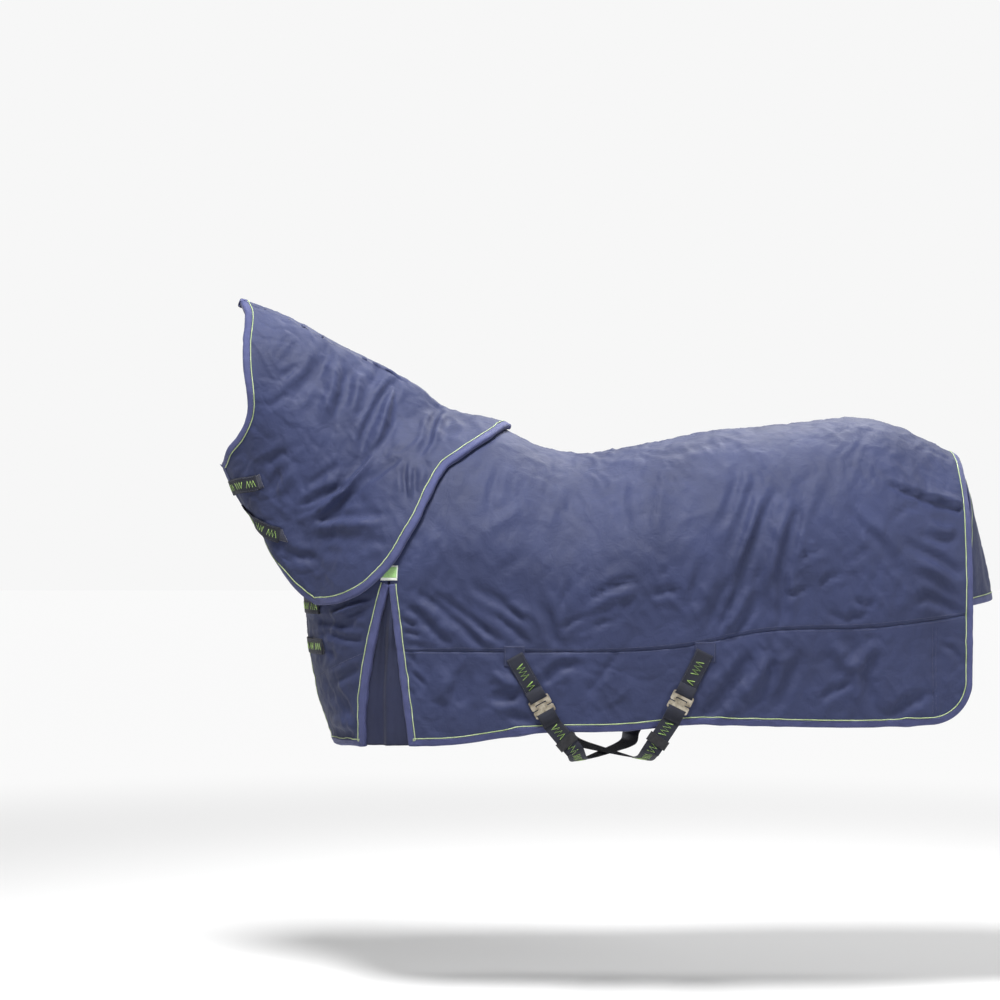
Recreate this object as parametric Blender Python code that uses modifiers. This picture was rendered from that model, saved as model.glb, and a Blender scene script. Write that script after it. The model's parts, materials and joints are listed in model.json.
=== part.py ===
"""A padded turnout rug for a horse, with a detachable neck cover, shaped as it lies on a standing horse.

Metres, +Z up, tail towards +X, the horse's left side towards -Y.
The origin is where the rug rests on the withers, on the horse's skin.

Two surfaces carry everything. The body surface is the horse's trunk: ribs run from the spine to the hem,
and ahead of the shoulder they fan round the chest. The neck surface runs from the cheek to the shoulder.
A point on either is a place and an outward normal, and each layer of cloth lies a stated height above it.
"""

import math

import bmesh
import bpy
from mathutils import Matrix, Vector
from mathutils.bvhtree import BVHTree

LEFT, RIGHT = -1, 1
MM = 0.001

# Cloth layers of the rug, as (lowest, highest) heights above the horse.
GUSSET_LAYER = (0.0, 2.0 * MM)
BINDING_INNER = (2.4 * MM, 3.4 * MM)
LINING_LAYER = (4.0 * MM, 4.8 * MM)
FILL_LAYER = (5.1 * MM, 11.1 * MM)
SHELL_LAYER = (11.4 * MM, 12.6 * MM)
BINDING_OUTER = (13.2 * MM, 14.2 * MM)
TOUCH_GAP = 0.3 * MM
LAID_GAP = 0.7 * MM
STRAP_GAP = 0.8 * MM
SEAM_GAP = 0.8 * MM

# Cloth layers of the neck cover, above the neck surface, which clears the rug below it.
NECK_INNER = (-1.3 * MM, -0.3 * MM)
NECK_LINING = (1.6 * MM, 2.4 * MM)
NECK_FILL = (2.7 * MM, 8.7 * MM)
NECK_SHELL = (9.0 * MM, 10.2 * MM)
NECK_OUTER = (11.2 * MM, 12.2 * MM)
NECK_CLEARANCE = 3.0 * MM

# The tail flap is two sheets of cloth with no fill.
FLAP_INNER = (0.0, 0.8 * MM)
FLAP_LINING = (1.3 * MM, 2.1 * MM)
FLAP_SHELL = (2.5 * MM, 3.7 * MM)
FLAP_OUTER = (4.2 * MM, 5.0 * MM)

BINDING_WIDTH = 14 * MM
BINDING_WALL = 1.0 * MM
BINDING_EDGE_GAP = 1.6 * MM
NECK_EDGE_GAP = 2.0 * MM
PIPING_RADIUS = 1.5 * MM
PIPING_GAP = 1.2 * MM

# The trunk. Each list holds (X, value) pairs that a smooth curve passes through.
SHOULDER_X = -0.20
TAIL_X = 1.178
NOSE_ARC = 0.45
CENTRE_FRONT = SHOULDER_X - NOSE_ARC
HEM_DATUM_Z = -0.80
SPINE_Z = [(-0.20, 0.030), (-0.13, 0.024), (-0.06, 0.014), (0.0, 0.0), (0.078, -0.038), (0.138, -0.060),
           (0.208, -0.069), (0.294, -0.059), (0.465, -0.026), (0.569, -0.007), (0.724, 0.007),
           (0.85, 0.019), (0.949, 0.021), (1.001, 0.010), (1.069, -0.016), (1.178, -0.068)]
WIDEST = [(-0.20, 0.262), (0.1, 0.298), (0.4, 0.322), (0.7, 0.318), (0.95, 0.303), (1.18, 0.265)]
WIDEST_DEPTH = [(-0.20, 0.42), (0.1, 0.40), (0.4, 0.36), (0.7, 0.37), (0.95, 0.36), (1.18, 0.36)]
PEAKEDNESS = [(-0.20, 1.35), (0.1, 1.20), (0.4, 0.98), (0.95, 0.92), (1.18, 1.05)]
HEM_WIDTH = [(-0.20, 0.268), (0.1, 0.298), (0.4, 0.318), (0.7, 0.308), (0.95, 0.290), (1.18, 0.255)]
CHEST_REACH = [(-0.82, 0.215), (-0.75, 0.235), (-0.66, 0.262), (-0.56, 0.280), (-0.45, 0.292), (-0.38, 0.292),
               (-0.30, 0.268), (-0.20, 0.235), (-0.10, 0.200), (0.0, 0.165), (0.06, 0.140)]

# Outlines on the trunk, as (rib, Z) pairs. A rib is X behind the shoulder and an arc length ahead of it.
NECKLINE_TOP = -0.13
NECKLINE_Z = [(-0.65, -0.390), (-0.55, -0.360), (-0.444, -0.274), (-0.333, -0.160), (-0.28, -0.112),
              (-0.20, -0.045), (-0.13, 0.024)]
SEAM_Z = [(-0.65, -0.552), (0.2, -0.554), (0.44, -0.542), (0.66, -0.502), (0.94, -0.492), (1.18, -0.462)]
HEM_Z = [(-0.65, -0.800), (-0.41, -0.795), (-0.22, -0.790), (-0.11, -0.785), (0.0, -0.768), (0.1, -0.754),
         (0.3, -0.748), (0.47, -0.732), (0.6, -0.734), (0.86, -0.740), (1.0, -0.738), (1.18, -0.730)]
REAR_CORNER = 0.10
FRONT_EDGE = CENTRE_FRONT + 0.006

# The shoulder gusset, an inverted V that opens from its apex to the hem.
APEX_Z = -0.388
APEX_RIB = -0.275
APEX_HALF = 2.5 * MM
GUSSET_FRONT = -0.392
GUSSET_BACK = -0.232
GUSSET_OVERLAP = 12 * MM

# The facets of each sheet.
NECKLINE_COLUMNS = 4
BACK_COLUMNS = 10
ROWS_TO_APEX = 4
ROWS_TO_SEAM = 3
ROWS_TO_HEM = 3
CHEST_COLUMNS = 5
NECK_COLUMNS = 9
NECK_ROW_SPOTS = [0.0, 0.045, 0.10, 0.17, 0.26, 0.37, 0.48, 0.60, 0.72, 0.83, 0.92, 1.0]
NECK_ROWS = len(NECK_ROW_SPOTS) - 1
FLAP_COLUMNS = 6
FLAP_ROWS = 6

# The neck cover in side view, as (X, Z) pairs from the head to the body and from the crest to the throat.
NECK_CREST = [(-0.674, 0.338), (-0.58, 0.303), (-0.49, 0.257), (-0.407, 0.213), (-0.328, 0.174),
              (-0.258, 0.136), (-0.20, 0.100), (-0.15, 0.058), (-0.10, 0.040), (-0.045, 0.026),
              (0.020, 0.006)]
NECK_THROAT = [(-0.714, -0.088), (-0.697, -0.125), (-0.672, -0.170), (-0.630, -0.212), (-0.602, -0.252)]
NECK_FRONT = [(-0.674, 0.338), (-0.656, 0.30), (-0.657, 0.225), (-0.653, 0.159), (-0.642, 0.094),
              (-0.640, 0.061), (-0.648, 0.024), (-0.672, -0.017), (-0.698, -0.045), (-0.714, -0.088)]
NECK_BASE = [(0.020, 0.006), (-0.025, -0.031), (-0.066, -0.058), (-0.105, -0.085), (-0.134, -0.105),
             (-0.164, -0.152), (-0.195, -0.216), (-0.227, -0.272), (-0.259, -0.329), (-0.293, -0.368),
             (-0.335, -0.405), (-0.388, -0.432), (-0.431, -0.439), (-0.481, -0.431), (-0.515, -0.405),
             (-0.554, -0.356), (-0.583, -0.306), (-0.602, -0.252)]
NECK_HALF_WIDTH = [(0.0, 0.110), (0.3, 0.128), (0.6, 0.152), (0.8, 0.175), (1.0, 0.190)]
NECK_FULLNESS = 0.75
THROAT_OPENING = 8 * MM

# The tail flap in side view on the middle plane, and its half-width, from its seam to its bottom edge.
FLAP_PROFILE = [(1.1825, -0.076), (1.207, -0.141), (1.226, -0.219), (1.244, -0.296), (1.268, -0.413),
                (1.272, -0.432)]
FLAP_HALF_WIDTH = [(0.0, 0.125), (0.5, 0.165), (1.0, 0.185)]
FLAP_WRAP = 0.105
FLAP_ARCH_TOP = 0.046
FLAP_ARCH_BOTTOM = 0.014
FLAP_HINGE = (1.180, -0.074)

# Webbing, and the straps that close with hook and loop.
WEB_WIDTH = 45 * MM
WEB_THICK = 1.8 * MM
STRAP_WIDTH = 40 * MM
STRAP_THICK = 2.0 * MM
LOOP_THICK = 1.5 * MM
CHEST_STRAP_Z = (-0.447, -0.549)
THROAT_STRAP_U = (0.30, 0.62)
LABEL_SIZE = (42 * MM, 37 * MM)
LABEL_CENTRE = (-0.275, -0.359)

# Each cross surcingle: a strap on the left, a slot plate, a hook, and a strap under the belly to the right.
SURCINGLES = {
    "front": {"anchor": (0.037, -0.566), "plate": (0.101, -0.680), "slider": (0.186, -0.800),
              "far": (0.508, -0.554), "belly_drop": 4 * MM},
    "rear": {"anchor": (0.508, -0.554), "plate": (0.451, -0.668), "slider": (0.372, -0.800),
             "far": (0.037, -0.566), "belly_drop": 0.0},
}
BELLY_CROSSING = (0.273, -0.828)
ANCHOR_SIZE = 52 * MM

# The slot plate, and the hook that turns in its lower slot. The Y values run down from the plate's centre.
PLATE_SIZE = (55 * MM, 25 * MM, 2 * MM)
PLATE_WEB_Y = -7.4 * MM
PLATE_HOOK_Y = 4.2 * MM
WEB_SLOT = (47.5 * MM, 3.8 * MM)
HOOK_SLOT = (30 * MM, 5.0 * MM)
HOOK_SIZE = (55 * MM, 19 * MM)
HOOK_PLATE_GAP = 2.5 * MM
HOOK_WEB_EDGE = 6.5 * MM
TONGUE_WIDTH = 25 * MM
TONGUE_THICK = 1.8 * MM
HOOK_CLEARANCE = 0.5 * MM
HOOK_SWING_GAP = 1.5 * MM
HARDWARE_HEIGHT = SHELL_LAYER[1] + 4.6 * MM
SLIDER_SIZE = (54 * MM, 7.4 * MM, 24 * MM)


def smooth(points):
    """A function whose smooth curve passes through the points."""
    points = sorted(points)
    xs = [x for x, _ in points]
    ys = [y for _, y in points]
    last = len(xs) - 1

    def slope(i):
        a, b = max(i - 1, 0), min(i + 1, last)
        return (ys[b] - ys[a]) / (xs[b] - xs[a])

    def value(x):
        i = max(k for k in range(last) if k == 0 or xs[k] <= x)
        span = xs[i + 1] - xs[i]
        t = (x - xs[i]) / span
        if t < 0 or t > 1:
            end = 0 if t < 0 else last
            return ys[end] + slope(end) * (x - xs[end])
        t2, t3 = t * t, t * t * t
        return (ys[i] * (2 * t3 - 3 * t2 + 1) + ys[i + 1] * (3 * t2 - 2 * t3)
                + span * (slope(i) * (t3 - 2 * t2 + t) + slope(i + 1) * (t3 - t2)))

    return value


def spline(points):
    """A function of 0 to 1 whose smooth curve passes through the points, evenly along its length."""
    points = [Vector(p) for p in points]
    along = [0.0]
    for a, b in zip(points, points[1:]):
        along.append(along[-1] + (b - a).length)
    axes = [smooth([(s / along[-1], p[k]) for s, p in zip(along, points)]) for k in range(len(points[0]))]
    return lambda t: Vector([axis(t) for axis in axes])


def mix(a, b, t):
    return a + (b - a) * t


def spread(a, b, count):
    """count + 1 values from a to b."""
    return [mix(a, b, i / count) for i in range(count + 1)]


spine_z = smooth(SPINE_Z)
widest = smooth(WIDEST)
widest_depth = smooth(WIDEST_DEPTH)
peakedness = smooth(PEAKEDNESS)
hem_width = smooth(HEM_WIDTH)
chest_reach = smooth(CHEST_REACH)
neckline_z = smooth(NECKLINE_Z)
seam_z = smooth(SEAM_Z)
straight_hem_z = smooth(HEM_Z)


def hem_z(rib):
    """The hem, with the rounded corner at the tail."""
    into = max(0.0, (rib - (TAIL_X - REAR_CORNER)) / REAR_CORNER)
    return straight_hem_z(rib) + REAR_CORNER * (1 - math.sqrt(max(0.0, 1 - into * into)))


def trunk(rib, level):
    """The left side of the horse's trunk. Level 0 is the spine, 1 the widest line and 2 the hem's datum."""
    x = max(rib, SHOULDER_X)
    side = -1 if level >= 0 else 1
    level = abs(level)
    top, wide = spine_z(x), widest(x)
    middle = top - widest_depth(x)
    if level <= 1:
        angle = level * math.pi / 2
        z = mix(middle, top, math.cos(angle))
        half = wide * math.sin(angle) ** peakedness(x)
    else:
        z = mix(middle, HEM_DATUM_Z, level - 1)
        half = mix(wide, hem_width(x), (level - 1) ** 2)
    turn = max(0.0, SHOULDER_X - rib) / NOSE_ARC * math.pi / 2
    return Vector((x - chest_reach(z) * math.sin(turn), side * half * math.cos(turn), z))


def level_of(rib, z):
    """The level at which a rib passes the height z."""
    x = max(rib, SHOULDER_X)
    top = spine_z(x)
    middle = top - widest_depth(x)
    if z >= middle:
        return math.acos(min(1.0, max(-1.0, (z - middle) / (top - middle)))) / (math.pi / 2)
    return 1 + (middle - z) / (middle - HEM_DATUM_Z)


def with_normal(surface, u, v):
    """(point, outward normal) of a surface at u, v."""
    step = 4e-3
    along = surface(u + step, v) - surface(u - step, v)
    down = surface(u, v + step) - surface(u, v - step)
    return surface(u, v), down.cross(along).normalized()


def on_trunk(rib, z):
    return with_normal(trunk, rib, level_of(rib, z))


def trunk_half_width(x, z):
    """How far the trunk's side is from the middle plane, in side view, or 0 outside its outline."""
    if z > spine_z(max(x, SHOULDER_X)):
        return 0.0
    if x >= SHOULDER_X:
        return -trunk(x, level_of(x, z)).y
    sine = (SHOULDER_X - x) / chest_reach(z)
    if sine >= 1:
        return 0.0
    return -trunk(SHOULDER_X, level_of(SHOULDER_X, z)).y * math.sqrt(1 - sine * sine)


def lifted(point, normal, height, side=LEFT):
    p = point + normal * height
    return Vector((p.x, -side * p.y, p.z))


# ---------------------------------------------------------------- making objects

def clear_scene():
    for obj in list(bpy.data.objects):
        bpy.data.objects.remove(obj)


def make_material(name, colour, roughness, metallic=0.0):
    material = bpy.data.materials.new(name)
    material.use_nodes = True
    shader = material.node_tree.nodes["Principled BSDF"]
    shader.inputs["Base Color"].default_value = (*colour, 1)
    shader.inputs["Roughness"].default_value = roughness
    shader.inputs["Metallic"].default_value = metallic
    return material


def add(name, data, material):
    obj = bpy.data.objects.new(name, data)
    data.materials.append(material)
    RUG.objects.link(obj)
    return obj


def mesh_of(name, build):
    """A mesh that the function build fills."""
    bm = bmesh.new()
    build(bm)
    mesh = bpy.data.meshes.new(name)
    bm.to_mesh(mesh)
    bm.free()
    return mesh


def loft_into(bm, rings, closed_ring=False, closed_path=False, spots=None):
    """Skins rings of points, and returns the first and last ring's vertices.

    Spots holds each ring point's place across a thin bar. With it each face is split into triangles the same
    way on both sides of the bar, so that the two sides stay parallel where the bar twists.
    """
    rows = [[bm.verts.new(p) for p in ring] for ring in rings]
    around = len(rows[0])
    pairs = list(zip(rows, rows[1:])) + ([(rows[-1], rows[0])] if closed_path else [])
    for a, b in pairs:
        for i in range(around if closed_ring else around - 1):
            j = (i + 1) % around
            if spots is None:
                bm.faces.new((a[i], a[j], b[j], b[i]))
            elif spots[i] <= spots[j]:
                bm.faces.new((a[i], a[j], b[j]))
                bm.faces.new((a[i], b[j], b[i]))
            else:
                bm.faces.new((a[i], a[j], b[i]))
                bm.faces.new((a[j], b[j], b[i]))
    return rows[0], rows[-1]


def layer(name, columns, heights, material, side=LEFT, mirror=False):
    """A sheet of cloth on a patch: an open surface at the lower height, thickened outwards."""
    low, high = heights

    def build(bm):
        first, _ = loft_into(bm, [[lifted(p, n, low, side) for p, n in column] for column in columns])
        bm.normal_update()
        out = columns[0][0][1]
        if first[0].normal.dot(Vector((out.x, -side * out.y, out.z))) < 0:
            bmesh.ops.reverse_faces(bm, faces=bm.faces)

    obj = add(name, mesh_of(name, build), material)
    if mirror:
        halves = obj.modifiers.new("halves", "MIRROR")
        halves.use_axis = (False, True, False)
        halves.use_clip = True
        halves.merge_threshold = 0.0001
    thick = obj.modifiers.new("thickness", "SOLIDIFY")
    thick.thickness = high - low
    thick.offset = 1
    return obj


def swept(name, rings, spots, material, closed_path=False):
    """A solid bar through rings of points, capped at its ends unless it closes on itself."""
    def build(bm):
        first, last = loft_into(bm, rings, True, closed_path, spots)
        if not closed_path:
            bm.faces.new(first)
            bm.faces.new(list(reversed(last)))
        bmesh.ops.recalc_face_normals(bm, faces=bm.faces)

    return add(name, mesh_of(name, build), material)


# ---------------------------------------------------------------- grids of (point, normal)

def gusset_rib(z, toward_tail, hem_rib):
    """The rib of one side of the gusset's opening at a height."""
    t = (APEX_Z - z) / (APEX_Z - hem_z(hem_rib))
    return mix(APEX_RIB + toward_tail * APEX_HALF, hem_rib, t)


def gusset_side(toward_tail, hem_rib, seam_top_rib):
    """(rib, level) down one side: the seam above the apex, then the opening to the hem."""
    top = level_of(seam_top_rib, neckline_z(seam_top_rib))
    apex = level_of(APEX_RIB, APEX_Z)
    seam = level_of(APEX_RIB, seam_z(GUSSET_BACK))
    hem = level_of(APEX_RIB, hem_z(hem_rib))
    side = [(mix(seam_top_rib, APEX_RIB + toward_tail * APEX_HALF, t), mix(top, apex, t))
            for t in spread(0.0, 1.0, ROWS_TO_APEX)]
    levels = spread(apex, seam, ROWS_TO_SEAM)[1:] + spread(seam, hem, ROWS_TO_HEM)[1:]
    for level in levels:
        side.append((gusset_rib(trunk(APEX_RIB, level).z, toward_tail, hem_rib), level))
    return side


def back_ribs():
    """Where the back's columns start along the neckline and the spine."""
    first = APEX_RIB + SEAM_GAP / 2
    ribs = spread(first, NECKLINE_TOP, NECKLINE_COLUMNS)[:-1]
    ribs += spread(NECKLINE_TOP, TAIL_X - REAR_CORNER, BACK_COLUMNS - 1)
    return ribs + [TAIL_X - 0.5 * REAR_CORNER, TAIL_X - 0.23 * REAR_CORNER, TAIL_X]


def sheet_columns(edge, ribs, top_level, low_level):
    """Columns from an uneven front edge to the tail, whose rows keep the edge's spacing."""
    columns = []
    first_level, last_level = edge[0][1], edge[-1][1]
    for start in ribs:
        s = (start - ribs[0]) / (ribs[-1] - ribs[0])
        top = top_level(mix(edge[0][0], ribs[-1], s))
        low = low_level(mix(edge[-1][0], ribs[-1], s))
        column = []
        for rib_at_edge, level in edge:
            fraction = (level - first_level) / (last_level - first_level)
            column.append(with_normal(trunk, mix(rib_at_edge, ribs[-1], s), mix(top, low, fraction)))
        columns.append(column)
    return columns


def back_grid():
    edge = gusset_side(1, GUSSET_BACK, back_ribs()[0])[:ROWS_TO_APEX + ROWS_TO_SEAM + 1]

    def top(rib):
        return 0.0 if rib > NECKLINE_TOP - 1e-6 else level_of(rib, neckline_z(rib))

    return sheet_columns(edge, back_ribs(), top, lambda rib: level_of(rib, seam_z(rib)))


def side_grid():
    edge = gusset_side(1, GUSSET_BACK, back_ribs()[0])[ROWS_TO_APEX + ROWS_TO_SEAM:]
    gap = SEAM_GAP / (APEX_Z - HEM_DATUM_Z)

    def top(rib):
        return level_of(rib, seam_z(rib)) + gap

    columns = sheet_columns(edge, back_ribs(), top, lambda rib: level_of(rib, hem_z(rib)))
    return columns


def chest_grid():
    side = gusset_side(-1, GUSSET_FRONT, APEX_RIB - SEAM_GAP / 2)
    first, last = side[0][1], side[-1][1]
    columns = []
    for s in spread(0.0, 1.0, CHEST_COLUMNS):
        top_rib, low_rib = mix(FRONT_EDGE, side[0][0], s), mix(FRONT_EDGE, side[-1][0], s)
        top, low = level_of(top_rib, neckline_z(top_rib)), level_of(low_rib, hem_z(low_rib))
        column = []
        for rib, level in side:
            fraction = (level - first) / (last - first)
            column.append(with_normal(trunk, mix(FRONT_EDGE, rib, s), mix(top, low, fraction)))
        columns.append(column)
    return columns


def trunk_tree():
    """A fine surface of the whole trunk, for finding the nearest skin."""
    ribs, levels = spread(-0.65, TAIL_X, 90), spread(0.0, 2.0, 50)
    points, faces = [], []
    for side in (LEFT, RIGHT):
        base = len(points)
        points += [lifted(trunk(rib, level), Vector(), 0.0, side) for rib in ribs for level in levels]
        for i in range(len(ribs) - 1):
            for j in range(len(levels) - 1):
                a = base + i * len(levels) + j
                quad = (a, a + 1, a + 1 + len(levels), a + len(levels))
                faces.append(quad if side == LEFT else tuple(reversed(quad)))
    return BVHTree.FromPolygons(points, faces)


def pushed_out(tree, p, clearance, on_middle):
    """The point moved away from the trunk until it clears it."""
    for _ in range(8):
        nearest, normal, _, _ = tree.find_nearest(p)
        short = clearance - (p - nearest).dot(normal)
        if short > 0:
            p = p + normal * short
        if on_middle:
            p.y = 0.0
    return p


def neck_point(lines, half_width, u, v):
    """The neck cover in side view, blended between its four edges, with its half-width."""
    front, base, crest, throat = lines
    p = mix(front(v), base(v), u)
    p += (1 - v) * (crest(u) - mix(crest(0.0), crest(1.0), u))
    p += v * (throat(u) - mix(throat(0.0), throat(1.0), u))
    y = -half_width(u) * math.sin(math.pi * v) ** NECK_FULLNESS if 0 < v < 1 else 0.0
    return Vector((p[0], y, p[1]))


def neck_grid(under):
    """Columns from the head to the body, each from the crest to the throat."""
    lines = [spline(points) for points in (NECK_FRONT, NECK_BASE, NECK_CREST, NECK_THROAT)]
    half_width, tree = smooth(NECK_HALF_WIDTH), trunk_tree()
    clearance = BINDING_OUTER[1] + NECK_CLEARANCE
    grid = []
    for u in spread(0.0, 1.0, NECK_COLUMNS):
        column = []
        for v in NECK_ROW_SPOTS:
            p = neck_point(lines, half_width, u, v)
            p.y = min(p.y, -(trunk_half_width(p.x, p.z)))
            p = pushed_out(tree, p, clearance, v == 0)
            p.y = 0.0 if v == 0 else min(p.y, -THROAT_OPENING)
            column.append(p)
        grid.append(column)
    for _ in range(4):
        raise_facets(tree, under, grid, clearance - 1.5 * MM)
    return with_grid_normals(grid)


def raise_facets(tree, under, grid, clearance):
    """Lifts the corners of each facet that is too near the trunk or the cloth and tape on it."""
    lifts = {}
    for i in range(len(grid) - 1):
        for j in range(len(grid[0]) - 1):
            corners = [(i, j), (i + 1, j), (i, j + 1), (i + 1, j + 1)]
            for a in (0.0, 0.25, 0.5, 0.75, 1.0):
                for b in (0.0, 0.25, 0.5, 0.75, 1.0):
                    weights = ((1 - a) * (1 - b), a * (1 - b), (1 - a) * b, a * b)
                    p = sum((grid[k][m] * w for (k, m), w in zip(corners, weights)), Vector())
                    nearest, normal, _, _ = tree.find_nearest(p)
                    short = max(clearance - (p - nearest).dot(normal),
                                NECK_CLEARANCE / 2 - depth_below(under, p, normal))
                    if short <= 0:
                        continue
                    for corner in corners:
                        if short > lifts.get(corner, (0.0, None))[0]:
                            lifts[corner] = (short, normal)
    for (i, j), (short, normal) in lifts.items():
        moved = grid[i][j] + normal * short
        grid[i][j] = Vector((moved.x, 0.0 if j == 0 else min(moved.y, -THROAT_OPENING), moved.z))


def with_grid_normals(grid):
    """A grid of points as a grid of (point, normal). Its first row lies on the middle plane of the whole."""
    bm = bmesh.new()
    rows = {}
    for side in (LEFT, RIGHT):
        rows[side] = [[bm.verts.new((p.x, -side * p.y, p.z)) for p in column] for column in grid]
        for left, right in zip(rows[side], rows[side][1:]):
            for j in range(len(left) - 1):
                quad = (left[j], left[j + 1], right[j + 1], right[j])
                bm.faces.new(quad if side == LEFT else tuple(reversed(quad)))
    bm.normal_update()
    columns = []
    for column, vertices, across in zip(grid, rows[LEFT], rows[RIGHT]):
        normals = [v.normal.copy() for v in vertices]
        if abs(column[0].y) < 1e-6:
            normals[0] = (vertices[0].normal + across[0].normal).normalized()
        columns.append(list(zip(column, normals)))
    bm.free()
    return columns


def flap_grid():
    """The tail flap's columns, from the horse's left to its right."""
    profile, half = spline(FLAP_PROFILE), smooth(FLAP_HALF_WIDTH)

    def surface(s, t):
        x, z = profile(t)
        drop = mix(FLAP_ARCH_TOP, FLAP_ARCH_BOTTOM, t)
        return Vector((x - FLAP_WRAP * max(t, 0.0) ** 1.2 * s * s, half(t) * s, z - drop * s * s))

    return [[with_normal(surface, s, min(max(t, 0.005), 0.995)) if 0 < t < 1 else
             (surface(s, t), with_normal(surface, s, min(max(t, 0.005), 0.995))[1])
             for t in spread(0.0, 1.0, FLAP_ROWS)] for s in spread(-1.0, 1.0, FLAP_COLUMNS)]


# ---------------------------------------------------- edges, as lists of (vertex, neighbours inside)

def rug_rim(back, side):
    """From the gusset's apex round the hem and the tail to the croup, on the left."""
    edge = [(back[0][j], [back[1][j]]) for j in range(ROWS_TO_APEX, len(back[0]))]
    edge += [(side[0][j], [side[1][j]]) for j in range(1, ROWS_TO_HEM)]
    edge.append((side[0][-1], [side[1][-1], side[0][-2]]))
    edge += [(column[-1], [column[-2]]) for column in side[1:-2]]
    edge += [(side[-2][-1], [side[-3][-2]]), (side[-1][-1], [side[-2][-2]])]
    edge += [(side[-1][j], [side[-2][j]]) for j in range(ROWS_TO_HEM - 1, 0, -1)]
    return edge + [(back[-1][j], [back[-2][j]]) for j in range(len(back[0]) - 1, -1, -1)]


def front_rim(chest, back):
    """From the gusset's apex round the chest and up the neckline to the withers, on the left."""
    last = len(chest[0]) - 1
    edge = [(chest[-1][j], [chest[-2][j]]) for j in range(ROWS_TO_APEX, last)]
    edge.append((chest[-1][last], [chest[-2][last], chest[-1][last - 1]]))
    edge += [(chest[k][last], [chest[k][last - 1]]) for k in range(CHEST_COLUMNS - 1, 0, -1)]
    edge.append((chest[0][last], [chest[1][last], chest[0][last - 1]]))
    edge += [(chest[0][j], [chest[1][j]]) for j in range(last - 1, 0, -1)]
    edge.append((chest[0][0], [chest[1][0], chest[0][1]]))
    edge += [(chest[k][0], [chest[k][1]]) for k in range(1, CHEST_COLUMNS + 1)]
    edge += [(back[k][0], [back[k][1]]) for k in range(1, NECKLINE_COLUMNS)]
    return edge + [(back[NECKLINE_COLUMNS][0], [back[NECKLINE_COLUMNS + 1][0]])]


def neck_rim(neck):
    """Down the front edge, along the throat and back up the base to the crest, on the left."""
    edge = [(vertex, [near]) for vertex, near in zip(neck[0][:-1], neck[1])]
    edge.append((neck[0][-1], [neck[1][-1], neck[0][-2]]))
    edge += [(column[-1], [column[-2]]) for column in neck[1:-1]]
    edge.append((neck[-1][-1], [neck[-2][-1], neck[-1][-2]]))
    return edge + [(neck[-1][j], [neck[-2][j]]) for j in range(NECK_ROWS - 1, -1, -1)]


def mirrored(edge):
    """The right side's copy of an edge, in reverse."""
    def flip(vertex):
        return tuple(Vector((v.x, -v.y, v.z)) for v in vertex)

    return [(flip(vertex), [flip(near) for near in nears]) for vertex, nears in reversed(edge)]


def arch(edge):
    """An edge that ends on the middle plane, carried on round the right side."""
    return edge + mirrored(edge)[1:]


def stations(edge, closed_path=False):
    """Adds to each vertex the offset across the edge that one whole step to each neighbour makes."""
    made = []
    for i, ((p, normal), nears) in enumerate(edge):
        if closed_path:
            before, after = edge[i - 1][0][0], edge[(i + 1) % len(edge)][0][0]
        else:
            before, after = edge[max(i - 1, 0)][0][0], edge[min(i + 1, len(edge) - 1)][0][0]
        if len(nears) == 2:
            sine = math.sin((nears[0][0] - p).angle(nears[1][0] - p))
        else:
            inward = nears[0][0] - p
            sides = [side for side in (p - before, after - p) if side.length > 1e-6]
            sine = sum(math.sin(side.angle(inward)) for side in sides) / len(sides)
        spans = [(near - p).length * sine for near, _ in nears]
        made.append(((p, normal), nears, spans))
    return made


def rim(station, out, height):
    """The point a distance out past an edge, measured along the cloth, and at a height above it."""
    (p, normal), nears, spans = station
    at = p + normal * height
    for (near, near_normal), span in zip(nears, spans):
        at += (near - p + (near_normal - normal) * height) * (-out / span)
    return at


def lifts(path, outs, height, sign, trees, closed_path):
    """How much further from the cloth each station must be for the strip along them to clear its facets."""
    extra = [0.0] * len(path)
    pairs = list(zip(range(len(path)), range(1, len(path)))) + ([(len(path) - 1, 0)] if closed_path else [])
    for _ in range(6):
        raised = list(extra)
        for k, m in pairs:
            ends = [[rim(path[i], out, height + sign * extra[i]) for out in outs] for i in (k, m)]
            rises = [rim(path[i], outs[0], height + 0.01) - rim(path[i], outs[0], height) for i in (k, m)]
            outward = [rise.normalized() * sign for rise in rises]
            for a in spread(0.0, 1.0, 12):
                out = mix(outward[0], outward[1], a).normalized()
                for one, other in zip(*ends):
                    short = LAID_GAP - depth_below(trees, mix(one, other, a), out)
                    if short > 0:
                        raised[k] = max(raised[k], extra[k] + short)
                        raised[m] = max(raised[m], extra[m] + short)
        extra = raised
    return extra


def depth_below(trees, p, out, reach=0.012):
    """The distance from a point down to the nearest cloth, or a large one if there is none."""
    found = [tree.ray_cast(p + out * reach, -out, 4 * reach)[3] for tree in trees]
    return min([depth - reach for depth in found if depth is not None], default=1.0)


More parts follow.
